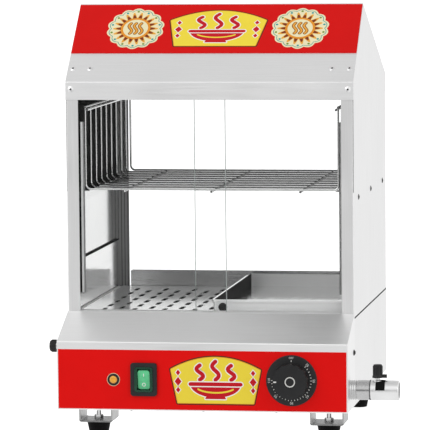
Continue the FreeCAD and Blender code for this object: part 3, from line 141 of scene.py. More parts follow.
# A material, with calls for what only finishes need.
class Finish(Nodes):
    def __init__(self):
        self.material = bpy.data.materials.new("finish")
        self.material.use_nodes = True
        super().__init__(self.material.node_tree)
        self.shader = self.tree.nodes["Principled BSDF"]
        self.output = self.tree.nodes["Material Output"]

    # Values of the shader, by the names of its sockets.
    def set(self, **values):
        for key, value in values.items():
            self.fill(self.shader.inputs[key.replace("_", " ")], value)

    def place(self, stretch=(1, 1, 1)):
        mapping = self.add("Mapping", self.add("TexCoord").outputs["Object"])
        mapping.inputs["Scale"].default_value = stretch
        return mapping.outputs["Vector"]

    def noise(self, scale, detail=2.0, roughness=0.55, stretch=(1, 1, 1)):
        node = self.add("TexNoise", self.place(stretch))
        for key, value in (("Scale", scale), ("Detail", detail), ("Roughness", roughness)):
            node.inputs[key].default_value = value
        return node.outputs["Fac"]

    # A noise spread around a middle, by what span takes away and adds.
    def vary(self, value, middle, span):
        return self.spread(value, middle + span[0], middle + span[1])

    def mix(self, share, first, second):
        return self.add("MixRGB", share, first, second).outputs[0]

    def join(self, share, first, second):
        return self.add("MixShader", share, first, second).outputs[0]

    # One share of the place on the piece, or of its normal.
    def axis(self, name, source="place"):
        vector = self.place() if source == "place" else self.add("NewGeometry").outputs["Normal"]
        return self.add("SeparateXYZ", vector).outputs[name]

    def bump(self, height, distance, strength=0.5):
        node = self.add("Bump", strength, distance)
        self.fill(node.inputs["Height"], height)
        self.fill(self.shader.inputs["Normal"], node.outputs["Normal"])


# An sRGB colour of 0 to 255 as linear values.
def paint(red, green, blue):
    share = np.array((red, green, blue)) / 255
    linear = np.where(share <= 0.04045, share / 12.92, ((share + 0.055) / 1.055) ** 2.4)
    return tuple(float(value) for value in linear)


# A colour with each of its values taken by a share.
def shaded(colour, share):
    return tuple(value * share for value in colour)


# Tests for masks, each a function of the finish. This one is 1 where a coordinate lies between two places.
def between(axis, low, high):
    def test(finish):
        place = finish.axis(axis)
        return finish.calc("MULTIPLY", finish.calc("GREATER_THAN", place, low),
                           finish.calc("LESS_THAN", place, high))
    return test


# 1 where the place across is further than a reach from a middle.
def beyond(middle, reach):
    def test(finish):
        off = finish.calc("ABSOLUTE", finish.calc("SUBTRACT", finish.axis("X"), middle))
        return finish.calc("GREATER_THAN", off, reach)
    return test


# 1 where the normal leans along an axis, to either side.
def leaning(axis):
    def test(finish):
        return finish.calc("GREATER_THAN", finish.calc("ABSOLUTE", finish.axis(axis, "normal")), 0.5)
    return test


# 1 where the normal points to the front, its Y below a level.
def facingFront(level):
    return lambda finish: finish.calc("LESS_THAN", finish.axis("Y", "normal"), level)


# 1 where it points both up and to the front.
def sloping(finish):
    up = finish.calc("GREATER_THAN", finish.axis("Z", "normal"), 0.2)
    return finish.calc("MULTIPLY", facingFront(-0.2)(finish), up)


# 1 on lines that repeat across, where sin(2 pi x / pitch) is above a level.
def lines(pitch, level):
    def test(finish):
        swing = finish.calc("SINE", finish.calc("MULTIPLY", finish.axis("X"), fullTurn / pitch))
        return finish.calc("GREATER_THAN", swing, level)
    return test


# A share that changes evenly along an axis, from one value at low to the other at high.
def fading(axis, low, high, fromShare, toShare):
    return lambda finish: finish.spread(finish.axis(axis), fromShare, toShare, low, high)


# Two tests multiplied, and a test that counts by a share.
def both(first, second):
    return lambda finish: finish.calc("MULTIPLY", first(finish), second(finish))


def partly(test, share):
    return lambda finish: finish.calc("MULTIPLY", test(finish), share)


ground = {
    "grain": 700.0,                   # grinding streaks to a metre, across them
    "run": 0.02,                      # how much slower the grain changes along a streak
    "depth": 0.003 * mm,
    "cloud": 7.0,                     # slow changes over a sheet
    "shares": (1.03, 0.975, 0.88),    # of the tone: light clouds, the rest, the darkest streaks
    "streakRough": (-0.05, 0.06),     # what streaks and clouds take from the roughness or add to it
    "cloudRough": (-0.02, 0.03),
    "specular": 0.1,
}


# Ground sheet: noise stretched along one axis shades, roughens and bumps it, and slow clouds lie over that.
# Faces that look to the front may be duller. A coat of (share, shade, smooth) turns the sheet to a matt shade
# by a share, and masks of (test, shade, smooth) do so where their test says. Smooth sets the roughness, and
# None for the shade or for smooth leaves it as it is.
def sheetSteel(tone, rough, along="X", duller=0.0, coat=None, masks=()):
    finish = Finish()
    stretch = tuple(ground["run"] if way == along else 1 for way in "XYZ")
    streaks = finish.noise(ground["grain"], detail=4.0, roughness=0.6, stretch=stretch)
    clouds = finish.noise(ground["cloud"])
    light, middle, dark = ((tone * share,) * 3 for share in ground["shares"])
    base = finish.mix(finish.spread(clouds), middle, light)
    colour = finish.mix(finish.spread(streaks, 0.0, 0.5), base, dark)
    rise = finish.spread(clouds, *ground["cloudRough"])
    if duller:
        rise = finish.calc("ADD", rise, partly(facingFront(-0.5), duller)(finish))
    grain = finish.calc("ADD", finish.vary(streaks, rough, ground["streakRough"]), rise)
    metal, covered = 1.0, False
    if coat:
        share, shade, smooth = coat
        colour = finish.mix(share, colour, (shade,) * 3)
        metal, covered = 1.0 - share, share == 1.0
        grain = grain if smooth is None else smooth
    for test, shade, smooth in masks:
        weight = test(finish)
        rest = finish.calc("SUBTRACT", 1.0, weight)
        if smooth is not None:
            grain = finish.calc("ADD", finish.calc("MULTIPLY", grain, rest),
                                finish.calc("MULTIPLY", weight, smooth))
        if shade is not None:
            colour = finish.mix(weight, colour, (shade,) * 3)
            metal = metal if covered else finish.calc("MULTIPLY", rest, metal)
    finish.set(Base_Color=colour, Metallic=metal, Roughness=grain, Specular_IOR_Level=ground["specular"])
    finish.bump(streaks, ground["depth"])
    return finish.material


zinc = {
    "spangle": 160.0, "grit": 900.0, "depth": 0.01 * mm, "bump": 0.3, "rough": (0.3, 0.42),
    "tones": ((0.54, 0.54, 0.53), (0.44, 0.44, 0.44)),
    "footTones": ((0.30, 0.30, 0.30), (0.2, 0.2, 0.2)),
    "footHigh": 2.6,     # millimetres up from the foot of a strip
}


# Zinc plated strip: spangles in the tone, and a darker tone on all that lies below a place in Z.
def zincSheet(below):
    finish = Finish()
    spangles = finish.spread(finish.noise(zinc["spangle"], detail=3.0))
    grit = finish.noise(zinc["grit"])
    tone, footTone = (finish.mix(spangles, *zinc[key]) for key in ("tones", "footTones"))
    finish.set(Base_Color=finish.mix(finish.calc("LESS_THAN", finish.axis("Z"), below), tone, footTone),
               Metallic=1.0, Roughness=finish.spread(grit, *zinc["rough"]))
    finish.bump(grit, zinc["depth"], zinc["bump"])
    return finish.material


turning = {
    "marks": 420.0, "depth": 0.008 * mm, "bump": 0.3, "rough": (-0.03, 0.06),
    "smears": 35.0, "smearShare": 0.88,
}


# Plated or turned metal: fine marks in the roughness, smears in the tone, and a dark painted shade where a
# test says.
def turnedMetal(tone, rough, tint=(1, 1, 1), darker=None, dark=0.1):
    finish = Finish()
    marks = finish.noise(turning["marks"], detail=4.0)
    smears = finish.noise(turning["smears"])
    colour = finish.mix(finish.spread(smears), shaded(tint, tone),
                        shaded(tint, tone * turning["smearShare"]))
    if darker:
        colour = finish.mix(darker(finish), colour, (dark,) * 3)
    finish.set(Base_Color=colour, Metallic=1.0, Roughness=finish.vary(marks, rough, turning["rough"]))
    finish.bump(marks, turning["depth"], turning["bump"])
    return finish.material


casting = {
    "spark": 2600.0, "bump": 0.6, "rough": (-0.05, 0.08),
    "smears": 60.0, "smearShare": 1.3, "smearLift": 0.001,
}


# Moulded plastic or rubber: a fine spark texture as deep as its grain in millimetres, faint smears, and a
# specular level for its gloss. A mark may cover what lies before a place in Y.
def moulded(colour, rough, grain=0.02, markBefore=None, markColour=None, gloss=0.35):
    finish = Finish()
    spark = finish.noise(casting["spark"])
    smears = finish.noise(casting["smears"])
    paler = tuple(value * casting["smearShare"] + casting["smearLift"] for value in colour)
    shade = finish.mix(finish.spread(smears), colour, paler)
    if markBefore is not None:
        shade = finish.mix(finish.calc("LESS_THAN", finish.axis("Y"), markBefore), shade, markColour)
    finish.set(Base_Color=shade, Roughness=finish.vary(spark, rough, casting["rough"]),
               Specular_IOR_Level=gloss)
    finish.bump(spark, grain * mm, casting["bump"])
    return finish.material


printing = {
    "mottle": 24.0, "shares": (0.97, 1.02), "specular": 0.1,
    "peel": 700.0, "depth": 0.01 * mm, "bump": 0.25, "rough": (-0.04, 0.05),
}


# Ink on sheet: mottling in the colour and a trace of orange peel.
def printed(colour, rough=0.4):
    finish = Finish()
    mottle = finish.noise(printing["mottle"], detail=3.0)
    peel = finish.noise(printing["peel"])
    deeper, paler = (shaded(colour, share) for share in printing["shares"])
    paler = tuple(min(1.0, value) for value in paler)
    finish.set(Base_Color=finish.mix(finish.spread(mottle), deeper, paler),
               Roughness=finish.vary(peel, rough, printing["rough"]), Specular_IOR_Level=printing["specular"])
    finish.bump(peel, printing["depth"], printing["bump"])
    return finish.material


glass = {
    "tint": (0.994, 0.998, 0.996), "smears": 14.0, "smearShare": 0.99, "index": 1.3,
    "grit": 1200.0, "edges": (paint(184, 190, 188), paint(146, 154, 152)), "edgeRough": 0.35,
}


# A clear pane that lets lamp light through; where its normal lies along the edge axis it is ground glass.
def clearPane(edgeAxis=None):
    finish = Finish()
    tint = glass["tint"]
    smears = finish.spread(finish.noise(glass["smears"], detail=3.0))
    finish.set(Base_Color=finish.mix(smears, tint, shaded(tint, glass["smearShare"])),
               Roughness=0.0, IOR=glass["index"], Transmission_Weight=1.0)
    pane = finish.shader.outputs[0]
    if edgeAxis:
        grit = finish.spread(finish.noise(glass["grit"]))
        edge = finish.add("BsdfPrincipled", finish.mix(grit, *glass["edges"]))
        edge.inputs["Roughness"].default_value = glass["edgeRough"]
        pane = finish.join(leaning(edgeAxis)(finish), pane, edge.outputs[0])
    through = finish.add("BsdfTransparent", tint)
    shadowRay = finish.add("LightPath").outputs["Is Shadow Ray"]
    finish.fill(finish.output.inputs["Surface"], finish.join(shadowRay, pane, through.outputs[0]))
    return finish.material


clear = {"cloud": 260.0, "cloudShare": 0.82, "depth": 0.02 * mm, "bump": 0.4, "index": 1.45, "coat": 0.4}


# Coloured see-through plastic with a gloss coat and clouding.
def tinted(colour, rough=0.2, through=0.2):
    finish = Finish()
    cloud = finish.noise(clear["cloud"])
    shade = finish.mix(finish.spread(cloud), colour, shaded(colour, clear["cloudShare"]))
    finish.set(Base_Color=shade, Roughness=rough, IOR=clear["index"], Transmission_Weight=through,
               Coat_Weight=clear["coat"])
    finish.bump(cloud, clear["depth"], clear["bump"])
    return finish.material


knobFace = nodeBox("temperature_knob")[0][1]
sideLow, sideHigh = nodeBox("cabinet_side_left")
rightHigh = nodeBox("cabinet_side_right")[1]
baseLow, baseHigh = nodeBox("base_shell")
sheetLow, sheetHigh = nodeBox("perforated_tray")
rackLow, rackHigh = nodeBox("wire_rack")
linerFoot, linerTop = (corner[2] for corner in nodeBox("liner_left"))
tankTop = nodeBox("water_tank")[1][2]
railTop = nodeBox("rack_rail_left")[1][2]
leftJamb, rightJamb = (nodeBox("jamb_" + side) for side in ("left", "right"))
bracketFoot = nodeBox("foot_bracket_front_left")[0][2]

# How wide the masked bands are, in millimetres, and how far a band runs out over the edge that it starts on.
zones = {
    "over": 1, "flange": 22, "foldPitch": 4.2, "skin": 0.4, "seam": 2.1, "longWires": 9, "firstWire": 6,
    "sheetEdge": 5, "slopeEnd": 40, "jambLight": 4.6, "jambLine": 1.9, "rightJambLine": 0.9, "linerLip": 1.4,
    "tankLip": 0.5, "knobMark": 0.3,
}
zone = {name: size * mm for name, size in zones.items()}


# Bands on the inner side of an edge: below it, where it is an upper edge, or above it.
def belowEdge(axis, edge, wide):
    return between(axis, edge - zone[wide], edge + zone["over"])


def aboveEdge(axis, edge, wide):
    return between(axis, edge - zone["over"], edge + zone[wide])


# The rear flanges of the sides carry a painted reflection of the dark room: grey, with painted dark lines of
# folds at a few places across.
rearFlangeReflection = both(belowEdge("Y", sideHigh[1], "flange"), leaning("Y"))
flangeShadeLines = both(rearFlangeReflection, lines(zone["foldPitch"], level=0.6))

# The inner faces of the sides are smoother, and above the rack's rails near black, a painted shade.
innerWall = both(leaning("X"), between("X", sideLow[0] + zone["skin"], rightHigh[0] - zone["skin"]))
shadedWall = both(between("Z", railTop, sideHigh[2]), innerWall)

# The foot of the side panels is a dark seam, and heads on the sides carry a painted shade, dark on their
# front half.
sideSeam = both(leaning("X"), aboveEdge("Z", sideLow[2], "seam"))
sideHeadShade = both(beyond(middleX, (rightHigh[0] - sideLow[0]) / 2), facingFront(-0.05))

# The shelf's long wires behind the first one are dark, a painted reflection of the dark room.
shelfWireReflection = both(aboveEdge("Z", rackLow[2], "longWires"),
                  between("Y", rackLow[1] + zone["firstWire"], rackHigh[1]))

# The outer edges of the slotted sheet, and the folded slope of the housing, whose painted light lessens from
# its middle on.
sheetEdge = both(leaning("X"), beyond((sheetLow[0] + sheetHigh[0]) / 2,
                                      (sheetHigh[0] - sheetLow[0]) / 2 - zone["sheetEdge"]))
housingSlopeLight = both(sloping, fading("X", (baseLow[0] + baseHigh[0]) / 2, baseHigh[0] - zone["slopeEnd"],
                                    fromShare=0.5, toShare=0.0))

# Tone or colour and roughness of each finish, then what sets it apart. Each material is named by its key.
# The stainless sheets are one steel; their tones differ by where each stands and faces, a painted light and
# shade.
finishes = {
    # The front's sloping faces carry a painted shade.
    "frontSteel": sheetSteel(0.95, 0.44, "X", duller=0.05, masks=(
        (partly(sloping, 0.2), 0.32, None),)),
    "housingSteel": sheetSteel(0.93, 0.44, "X", masks=((housingSlopeLight, 0.8, None),)),
    "sideSteel": sheetSteel(0.86, 0.36, "Z", duller=0.12, masks=(
        (innerWall, None, 0.12), (shadedWall, 0.015, 0.9), (rearFlangeReflection, 0.42, 0.6), (flangeShadeLines, 0.16, 0.6),
        (sideSeam, 0.03, 0.9))),
    "baseSteel": sheetSteel(0.87, 0.36, "Z", duller=0.14),
    "roofSteel": sheetSteel(0.86, 0.4, "X"),
    # The left jamb is a matt coat, a painted reflection of the bright rear, with a grey line at its inner
    # edge and, beyond its light strip, a near black painted shadow.
    "leftJamb": sheetSteel(0.9, 0.4, "Z", coat=(1.0, 0.95, 0.6), masks=(
        (belowEdge("X", leftJamb[1][0], "jambLine"), 0.3, 0.6),
        (between("X", leftJamb[0][0] - zone["over"], leftJamb[1][0] - zone["jambLight"]), 0.01, 0.9))),
    "rightJamb": sheetSteel(0.6, 0.3, "Z", coat=(1.0, 0.32, 0.6), masks=(
        (aboveEdge("X", rightJamb[0][0], "rightJambLine"), 0.03, 0.9),)),
    "zincSteel": zincSheet(bracketFoot + zinc["footHigh"] * mm),
    "innerSteel": sheetSteel(0.82, 0.12, "Y"),
    # The liner carries a painted shade, near black, under its top edge, and a painted light on its lower
    # inner faces.
    "linerSteel": sheetSteel(0.93, 0.12, "Y", masks=(
        (belowEdge("Z", linerTop, "linerLip"), 0.02, 0.95),
        (both(between("Z", linerFoot - zone["over"], sheetHigh[2]), leaning("X")), 0.95, 0.6))),
    # The tank's top lip carries a painted light.
    "tankSteel": sheetSteel(0.82, 0.12, "Y", masks=(
        (belowEdge("Z", tankTop, "tankLip"), 0.95, 0.6),)),
    # The slotted sheet is half covered by a pale matt coat, a painted light for its bright mirror look, and
    # its outer edges are matt grey.
    "slottedSteel": sheetSteel(0.95, 0.12, "X", coat=(0.5, 0.9, None), masks=(
        (sheetEdge, 0.7, None),)),
    # The pan's side walls carry a painted shade and its front and rear walls a painted light.
    "panSteel": sheetSteel(0.86, 0.1, "Y", masks=(
        (leaning("X"), 0.06, 0.9), (partly(leaning("Y"), 0.6), 0.9, 0.5))),
    "sillSteel": sheetSteel(0.9, 0.4, "X"),
    "trackSteel": sheetSteel(0.8, 0.18, "X"),
    "rearSteel": sheetSteel(0.55, 0.2, "X"),
    "wire": turnedMetal(0.92, 0.08, darker=shelfWireReflection, dark=0.3),
    "nutMetal": turnedMetal(0.56, 0.22),
    "plated": turnedMetal(0.78, 0.2),
    "heater": turnedMetal(0.30, 0.38, (1.0, 0.93, 0.86)),
    "rivet": turnedMetal(0.90, 0.34, darker=sideHeadShade, dark=0.04),
    "valve": turnedMetal(0.86, 0.34),
    "knob": moulded(paint(27, 27, 28), 0.36, 0.02, knobFace + zone["knobMark"],
                    paint(232, 232, 230)),
    "black": moulded(paint(30, 30, 31), 0.42),
    "tap": moulded(paint(24, 24, 25), 0.5),
    "rubber": moulded(paint(7, 7, 7), 0.62, 0.05, gloss=0.1),
    "cream": moulded(paint(222, 214, 188), 0.45),
    "mandrel": moulded(paint(58, 58, 60), 0.5),
    "redPrint": printed(paint(216, 12, 10)),
    "redFascia": printed(paint(231, 12, 10)),
    "doorGlass": clearPane("X"),
    "rearGlass": clearPane(),
    "rocker": tinted(paint(98, 226, 156), 0.2, 0.05),
    "boot": tinted(paint(26, 84, 60), 0.25, 0.3),
    "lens": tinted(paint(255, 184, 66), 0.14, 0.05),
}
inks = {
    "yellow": (244, 221, 70), "orange": (232, 150, 48), "outline": (40, 38, 34), "pale": (240, 232, 190),
    "cherry": (200, 28, 40), "white": (246, 246, 242), "gold": (236, 168, 66), "brown": (128, 58, 34),
    "teal": (64, 160, 160), "leaf": (120, 150, 60), "dialMark": (226, 226, 222),
}
for name, colour in inks.items():
    finishes[name] = printed(paint(*colour))
for name, material in finishes.items():
    material.name = name
print("finishes made:", len(finishes))

# The nodes of each finish, or the first two words of a name that sides or corners share.
finishNodes = {
    "baseSteel": "base_shell", "housingSteel": "control_housing", "frontSteel": "bottom_plate front_header",
    "roofSteel": "roof_rear", "sideSteel": "cabinet_side", "sillSteel": "lower_track",
    "trackSteel": "upper_track", "rearSteel": "rear_sill rear_head", "leftJamb": "jamb_left",
    "rightJamb": "jamb_right", "linerSteel": "liner_left liner_right", "innerSteel": "rack_rail",
    "tankSteel": "water_tank", "slottedSteel": "perforated_tray", "panSteel": "holding_tray",
    "zincSteel": "foot_bracket", "redFascia": "control_fascia", "redPrint": "sign_panel",
    "doorGlass": "front_door", "rearGlass": "rear_window", "wire": "wire_rack", "heater": "heating_element",
    "nutMetal": "drain_pipe drain_nut", "valve": "drain_valve", "rivet": "blind_rivets cover_screws",
    "plated": "level_stem drain_plug thermostat_spindle overheat_cutout foot_bolts foot_nuts",
    "black": "dial_plate thermostat switch_housing lamp_ring cable_gland", "knob": "temperature_knob",
    "tap": "drain_tap reset_cap", "rubber": "rubber_foot", "cream": "level_float terminal_block",
    "rocker": "switch_rocker", "boot": "switch_seal", "lens": "lamp_lens", "cherry": "reset_button",
}
finishOf = {node: kind for kind, nodes in finishNodes.items() for node in nodes.split()}
for node, thing in frame["nodes"].items():
    family = "_".join(node.split("_")[:2])
    thing.data.materials.clear()
    thing.data.materials.append(finishes[finishOf[node if node in finishOf else family]])
print("nodes dressed")


# A part is (points, faces, finish name). Parts are put into one mesh, each face keeping its finish.
def addPiece(name, parts, body, sharp=35):
    kinds = list(dict.fromkeys(part[2] for part in parts))
    firsts = np.cumsum([0] + [len(part[0]) for part in parts])
    points = np.concatenate([part[0] for part in parts])
    faces = [[corner + first for corner in face] for part, first in zip(parts, firsts) for face in part[1]]
    indices = [kinds.index(part[2]) for part in parts for face in part[1]]
    mesh = bpy.data.meshes.new(name)
    mesh.from_pydata(points.tolist(), [], faces)
    for kind in kinds:
        mesh.materials.append(finishes[kind])
    mesh.polygons.foreach_set("material_index", indices)
    mesh.shade_smooth()
    mesh.set_sharp_from_angle(angle=math.radians(sharp))
    mesh.update()
    thing = addObject(name, mesh)
    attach(thing, body)


# Closed loops joined by quads, the first and the last loop filled; a loop runs to the left of the way on.
def skin(loops):
    rows, columns = loops.shape[:2]
    row, column = np.meshgrid(np.arange(rows - 1), np.arange(columns), indexing="ij")
    after = (column + 1) % columns
    quads = np.stack([row * columns + column, row * columns + after,
                      (row + 1) * columns + after, (row + 1) * columns + column], axis=-1).reshape(-1, 4)
    last = (rows - 1) * columns
    return (loops.reshape(-1, 3), quads.tolist() + [list(range(columns - 1, -1, -1))]
            + [list(range(last, last + columns))])


# Places (u, v, w) in millimetres over a plane: origin + u across + v up + w out.
def onPlane(points, plane):
    origin, across, up = plane
    return origin + mm * (points @ np.stack([across, up, np.cross(across, up)]))


# An outline in millimetres, pulled up from low to high over a plane.
def plate(outline, low, high, kind, plane):
    loop = np.asarray(outline, float)
    turn = np.roll(loop, -1, axis=0)
    if (loop[:, 0] * turn[:, 1] - turn[:, 0] * loop[:, 1]).sum() < 0:
        loop = loop[::-1]
    loops = np.stack([np.column_stack([loop, np.full(len(loop), level)]) for level in (low, high)])
    points, faces = skin(loops)
    return onPlane(points, plane), faces, kind


# Outlines are in millimetres too. This one has its points at r(angle) round a middle.
def around(radius, middle=(0, 0), count=96):
    angle = np.linspace(0, fullTurn, count, endpoint=False)
    reach = radius(angle) if callable(radius) else np.full(count, float(radius))
    return np.stack([middle[0] + reach * np.cos(angle), middle[1] + reach * np.sin(angle)], axis=-1)


# A closed outline resampled evenly, each corner rounded by a moving mean of about the corner's size.
def rounded(outline, corner, count=200):
    closed = np.concatenate([outline, outline[:1]]).astype(float)
    length = np.concatenate([[0], np.cumsum(np.linalg.norm(np.diff(closed, axis=0), axis=1))])
    steps = np.linspace(0, length[-1], count, endpoint=False)
    even = np.stack([np.interp(steps, length, closed[:, way]) for way in (0, 1)], axis=-1)
    reach = max(1, int(round(corner * count / length[-1])))
    wrapped = np.concatenate([even[-reach:], even, even[:reach]])
    weights = np.full(2 * reach + 1, 1 / (2 * reach + 1))
    return np.stack([np.convolve(wrapped[:, way], weights, "valid") for way in (0, 1)], axis=-1)


# An outline moved inwards along its normals.
def inset(outline, by):
    along = np.roll(outline, -1, axis=0) - np.roll(outline, 1, axis=0)
    along /= np.linalg.norm(along, axis=1)[:, None]
    inward = np.stack([-along[:, 1], along[:, 0]], axis=-1)
    turn = np.roll(outline, -1, axis=0)
    left = (outline[:, 0] * turn[:, 1] - turn[:, 0] * outline[:, 1]).sum() > 0
    return outline + inward * by * (1 if left else -1)


# A plate with straight tapered sides and a crown: v = height - arch * (2u / top)^2 above.
def crowned(top, foot, height, arch, middle, low):
    share = np.linspace(1, -1, 60)
    crown = np.stack([middle + share * top / 2, low + height - arch * share ** 2], axis=-1)
    return np.concatenate([crown, [[middle - foot / 2, low], [middle + foot / 2, low]]])


# A band round a path: path + side * width / 2 on both sides, with half circles at its ends.
def ribbon(path, width):
    along = np.gradient(path, axis=0)
    along /= np.linalg.norm(along, axis=1)[:, None]
    side = np.stack([-along[:, 1], along[:, 0]], axis=-1) * width / 2
    turn = np.linspace(0, math.pi, 9)[1:-1, None]
    tail = path[-1] + side[-1] * np.cos(turn) + along[-1] * width / 2 * np.sin(turn)
    head = path[0] - side[0] * np.cos(turn) - along[0] * width / 2 * np.sin(turn)
    return np.concatenate([path + side, tail, (path - side)[::-1], head])


# A rising wave: u = middle + swing * sin(2 pi t), v from foot to top.
def wave(middle, foot, top, swing, count=40):
    share = np.linspace(0, 1, count)
    return np.stack([middle + swing * np.sin(fullTurn * share), foot + (top - foot) * share], axis=-1)


# Half the width to both sides of a middle, and half the height above and below it.
def diamond(middle, wide, tall):
    return np.array([[middle[0] + wide / 2, middle[1]], [middle[0], middle[1] + tall / 2],
                     [middle[0] - wide / 2, middle[1]], [middle[0], middle[1] - tall / 2]])


badge = {
    "line": 1.2, "goldLine": 0.9, "corner": 1.6, "layer": 0.05,
    "fascia": {"top": 114.5, "foot": 96.4, "height": 60.2, "arch": 16.2, "middle": 17.3, "low": 8.0},
    "sign": {"top": 124.5, "foot": 104.6, "height": 65.8, "arch": 17.8, "middle": 0.8, "low": 10.0},
}
bowl = {
    "halfShare": 0.27, "brimShare": 0.42, "deepShare": 0.27,    # of the plate's width and of its height
    "stand": ((0.42, 0.12), (0.34, 0.2)),    # half widths and heights of foot and neck, as shares
    "soft": 0.8, "edge": 1.3,                # rounding of the corners and width of the white edge
    "rimWide": 4.6, "stripeWide": 2.0, "stripeDown": 2.5, "stripeShares": (0.78, 0.13),
    "lifts": {"cup": 5, "stand": 4.4, "rim": 6.5, "stripe": 7.2},    # in layers, all at different heights
    "waves": ((-0.62, 0.8), (0.0, 0.88), (0.62, 0.8)),               # place across and top, as shares
    "waveUpShare": 0.09, "swingShare": 0.13, "waveWide": 4.8, "waveEdgeWide": 7.2,
}
diamonds = {"off": 15, "tallShare": 1.3, "edge": 2.6, "column": ((0.3, 5.5), (0.47, 8.5), (0.65, 5.5))}


# A bowl under its brim, v = brim + deep * sin(a), on a stand, with a rim, a stripe and three rising waves.
def bowlParts(values, plane):
    layer, lifts, parts = badge["layer"], bowl["lifts"], []
    middle, low, tall = values["middle"], values["low"], values["height"]
    wide = values["top"] * bowl["halfShare"]
    brim = low + tall * bowl["brimShare"]
    angle = np.linspace(math.pi, fullTurn, 40)
    cup = np.stack([middle + wide * np.cos(angle), brim + tall * bowl["deepShare"] * np.sin(angle)], axis=-1)
    stand = np.array([(middle + way * wide * half, low + tall * up)
                      for (half, up), ways in zip(bowl["stand"], ((-1, 1), (1, -1))) for way in ways])
    rim = ribbon(np.stack([np.linspace(middle - wide, middle + wide, 12), np.full(12, brim)], axis=-1),
                 bowl["rimWide"])
    for outline, lift in ((cup, lifts["cup"]), (stand, lifts["stand"]), (rim, lifts["rim"])):
        soft = rounded(outline, bowl["soft"])
        parts.append(plate(inset(soft, -bowl["edge"]), 0, (lift - 1) * layer, "white", plane))
        parts.append(plate(soft, 0, lift * layer, "cherry", plane))
    across, down = bowl["stripeShares"]
    bend = angle[6:-6]
    stripe = np.stack([middle + wide * across * np.cos(bend),
                       brim - bowl["stripeDown"] + tall * down * np.sin(bend)], axis=-1)
    parts.append(plate(ribbon(stripe, bowl["stripeWide"]), 0, lifts["stripe"] * layer, "yellow", plane))
    for place, top in bowl["waves"]:
        path = wave(middle + place * wide, brim + tall * bowl["waveUpShare"], low + tall * top,
                    wide * bowl["swingShare"])
        parts.append(plate(ribbon(path, bowl["waveEdgeWide"]), 0, 4 * layer, "white", plane))
        parts.append(plate(ribbon(path, bowl["waveWide"]), 0, 5 * layer, "cherry", plane))
    return parts


# A crowned plate in layers, and on it a bowl between two columns of diamonds.
def badgeParts(values, plane):
    layer = badge["layer"]
    border = rounded(crowned(**values), badge["corner"])
    parts = [plate(border, -layer, layer, "outline", plane),
             plate(inset(border, badge["line"]), -layer, 2 * layer, "orange", plane),
             plate(inset(border, badge["line"] + badge["goldLine"]), -layer, 3 * layer, "yellow", plane)]
    parts += bowlParts(values, plane)
    reach = values["top"] * bowl["halfShare"] + diamonds["off"]
    for sign in (-1, 1):
        for place, size in diamonds["column"]:
            spot = (values["middle"] + sign * reach, values["low"] + values["height"] * place)
            tall, edge = size * diamonds["tallShare"], diamonds["edge"]
            parts.append(plate(diamond(spot, size + edge, tall + edge), 0, 4 * layer, "white", plane))
            parts.append(plate(diamond(spot, size, tall), 0, 5 * layer, "cherry", plane))
    return parts


medallion = {
    "middles": ((-102.0, 42.5), (104.0, 42.5)), "layer": 0.05,
    "radius": 36.0, "scallops": 14, "scallop": 3.0, "tealIn": 2.2, "paleIn": 3.2,
    "rays": 18, "goldRays": (19, 28.5), "brownRays": (17, 24.5), "ring": 18.5, "disc": 15.6,
    "waves": (-6.5, 0.0, 6.5), "waveHalf": 9, "swing": 2.1, "waveWide": 2.4, "waveEdgeWide": 4.2,
    "dotsOut": 30.2, "dot": 1.5,
}


# A scalloped disc, r = R - d + d |sin(n a / 2)|, with a ring of rays and dots round three small waves.
def medallionParts(values, middle, plane):
    layer, lobes = values["layer"], values["scallops"]

    def scallops(size):
        return around(lambda a: size - values["scallop"] * (1 - np.abs(np.sin(lobes * a / 2))), middle, 280)

    def rays(near, far):
        return around(lambda a: near + (far - near) * (0.5 + 0.5 * np.cos(values["rays"] * a)), middle, 360)

    discs = ((scallops(values["radius"]), "pale"), (scallops(values["radius"] - values["tealIn"]), "teal"),
             (scallops(values["radius"] - values["paleIn"]), "pale"), (rays(*values["goldRays"]), "gold"),
             (rays(*values["brownRays"]), "brown"), (around(values["ring"], middle), "orange"),
             (around(values["disc"], middle), "pale"))
    parts = [plate(outline, -layer if level < 4 else 0, level * layer, kind, plane)
             for level, (outline, kind) in enumerate(discs, start=1)]
    for place in values["waves"]:
        path = wave(middle[0] + place, middle[1] - values["waveHalf"], middle[1] + values["waveHalf"],
                    values["swing"])
        parts.append(plate(ribbon(path, values["waveEdgeWide"]), 0, 8 * layer, "brown", plane))
        parts.append(plate(ribbon(path, values["waveWide"]), 0, 9 * layer, "gold", plane))
    for step in range(lobes):
        angle, reach = fullTurn * (step + 0.5) / lobes, values["dotsOut"]
        spot = (middle[0] + reach * math.cos(angle), middle[1] + reach * math.sin(angle))
        kind = "leaf" if step % 2 else "teal"
        parts.append(plate(around(values["dot"], spot, 20), 0, 5 * layer, kind, plane))
    return parts


# The slope of a sheet whose box is dy by dz and whose thickness is t, found by repeating:
# dy = L cos a + t sin a, dz = L sin a + t cos a.
def slopeOf(deep, tall, thick):
    angle = math.atan2(tall, deep)
    for step in range(20):
        angle = math.atan2(tall - thick * math.cos(angle), deep - thick * math.sin(angle))
    return angle


# A plane that looks to the front, with the middle of a piece as its origin, at a place in Y.
def uprightPlane(middle, front):
    return np.array([middle[0], front, middle[2]]), np.array([1.0, 0, 0]), np.array([0, 0, 1.0])


signThick = 1.0 * mm
faceFront = nodeBox("control_fascia")[0][1]
facePlane = uprightPlane((middleX, 0, underside), faceFront)
signLow, signHigh = nodeBox("sign_panel")
pitch = slopeOf(signHigh[1] - signLow[1], signHigh[2] - signLow[2], signThick)
signPlane = (np.array([middleX, signLow[1], signLow[2] + signThick * math.cos(pitch)]), facePlane[1],
             np.array([0, math.cos(pitch), math.sin(pitch)]))

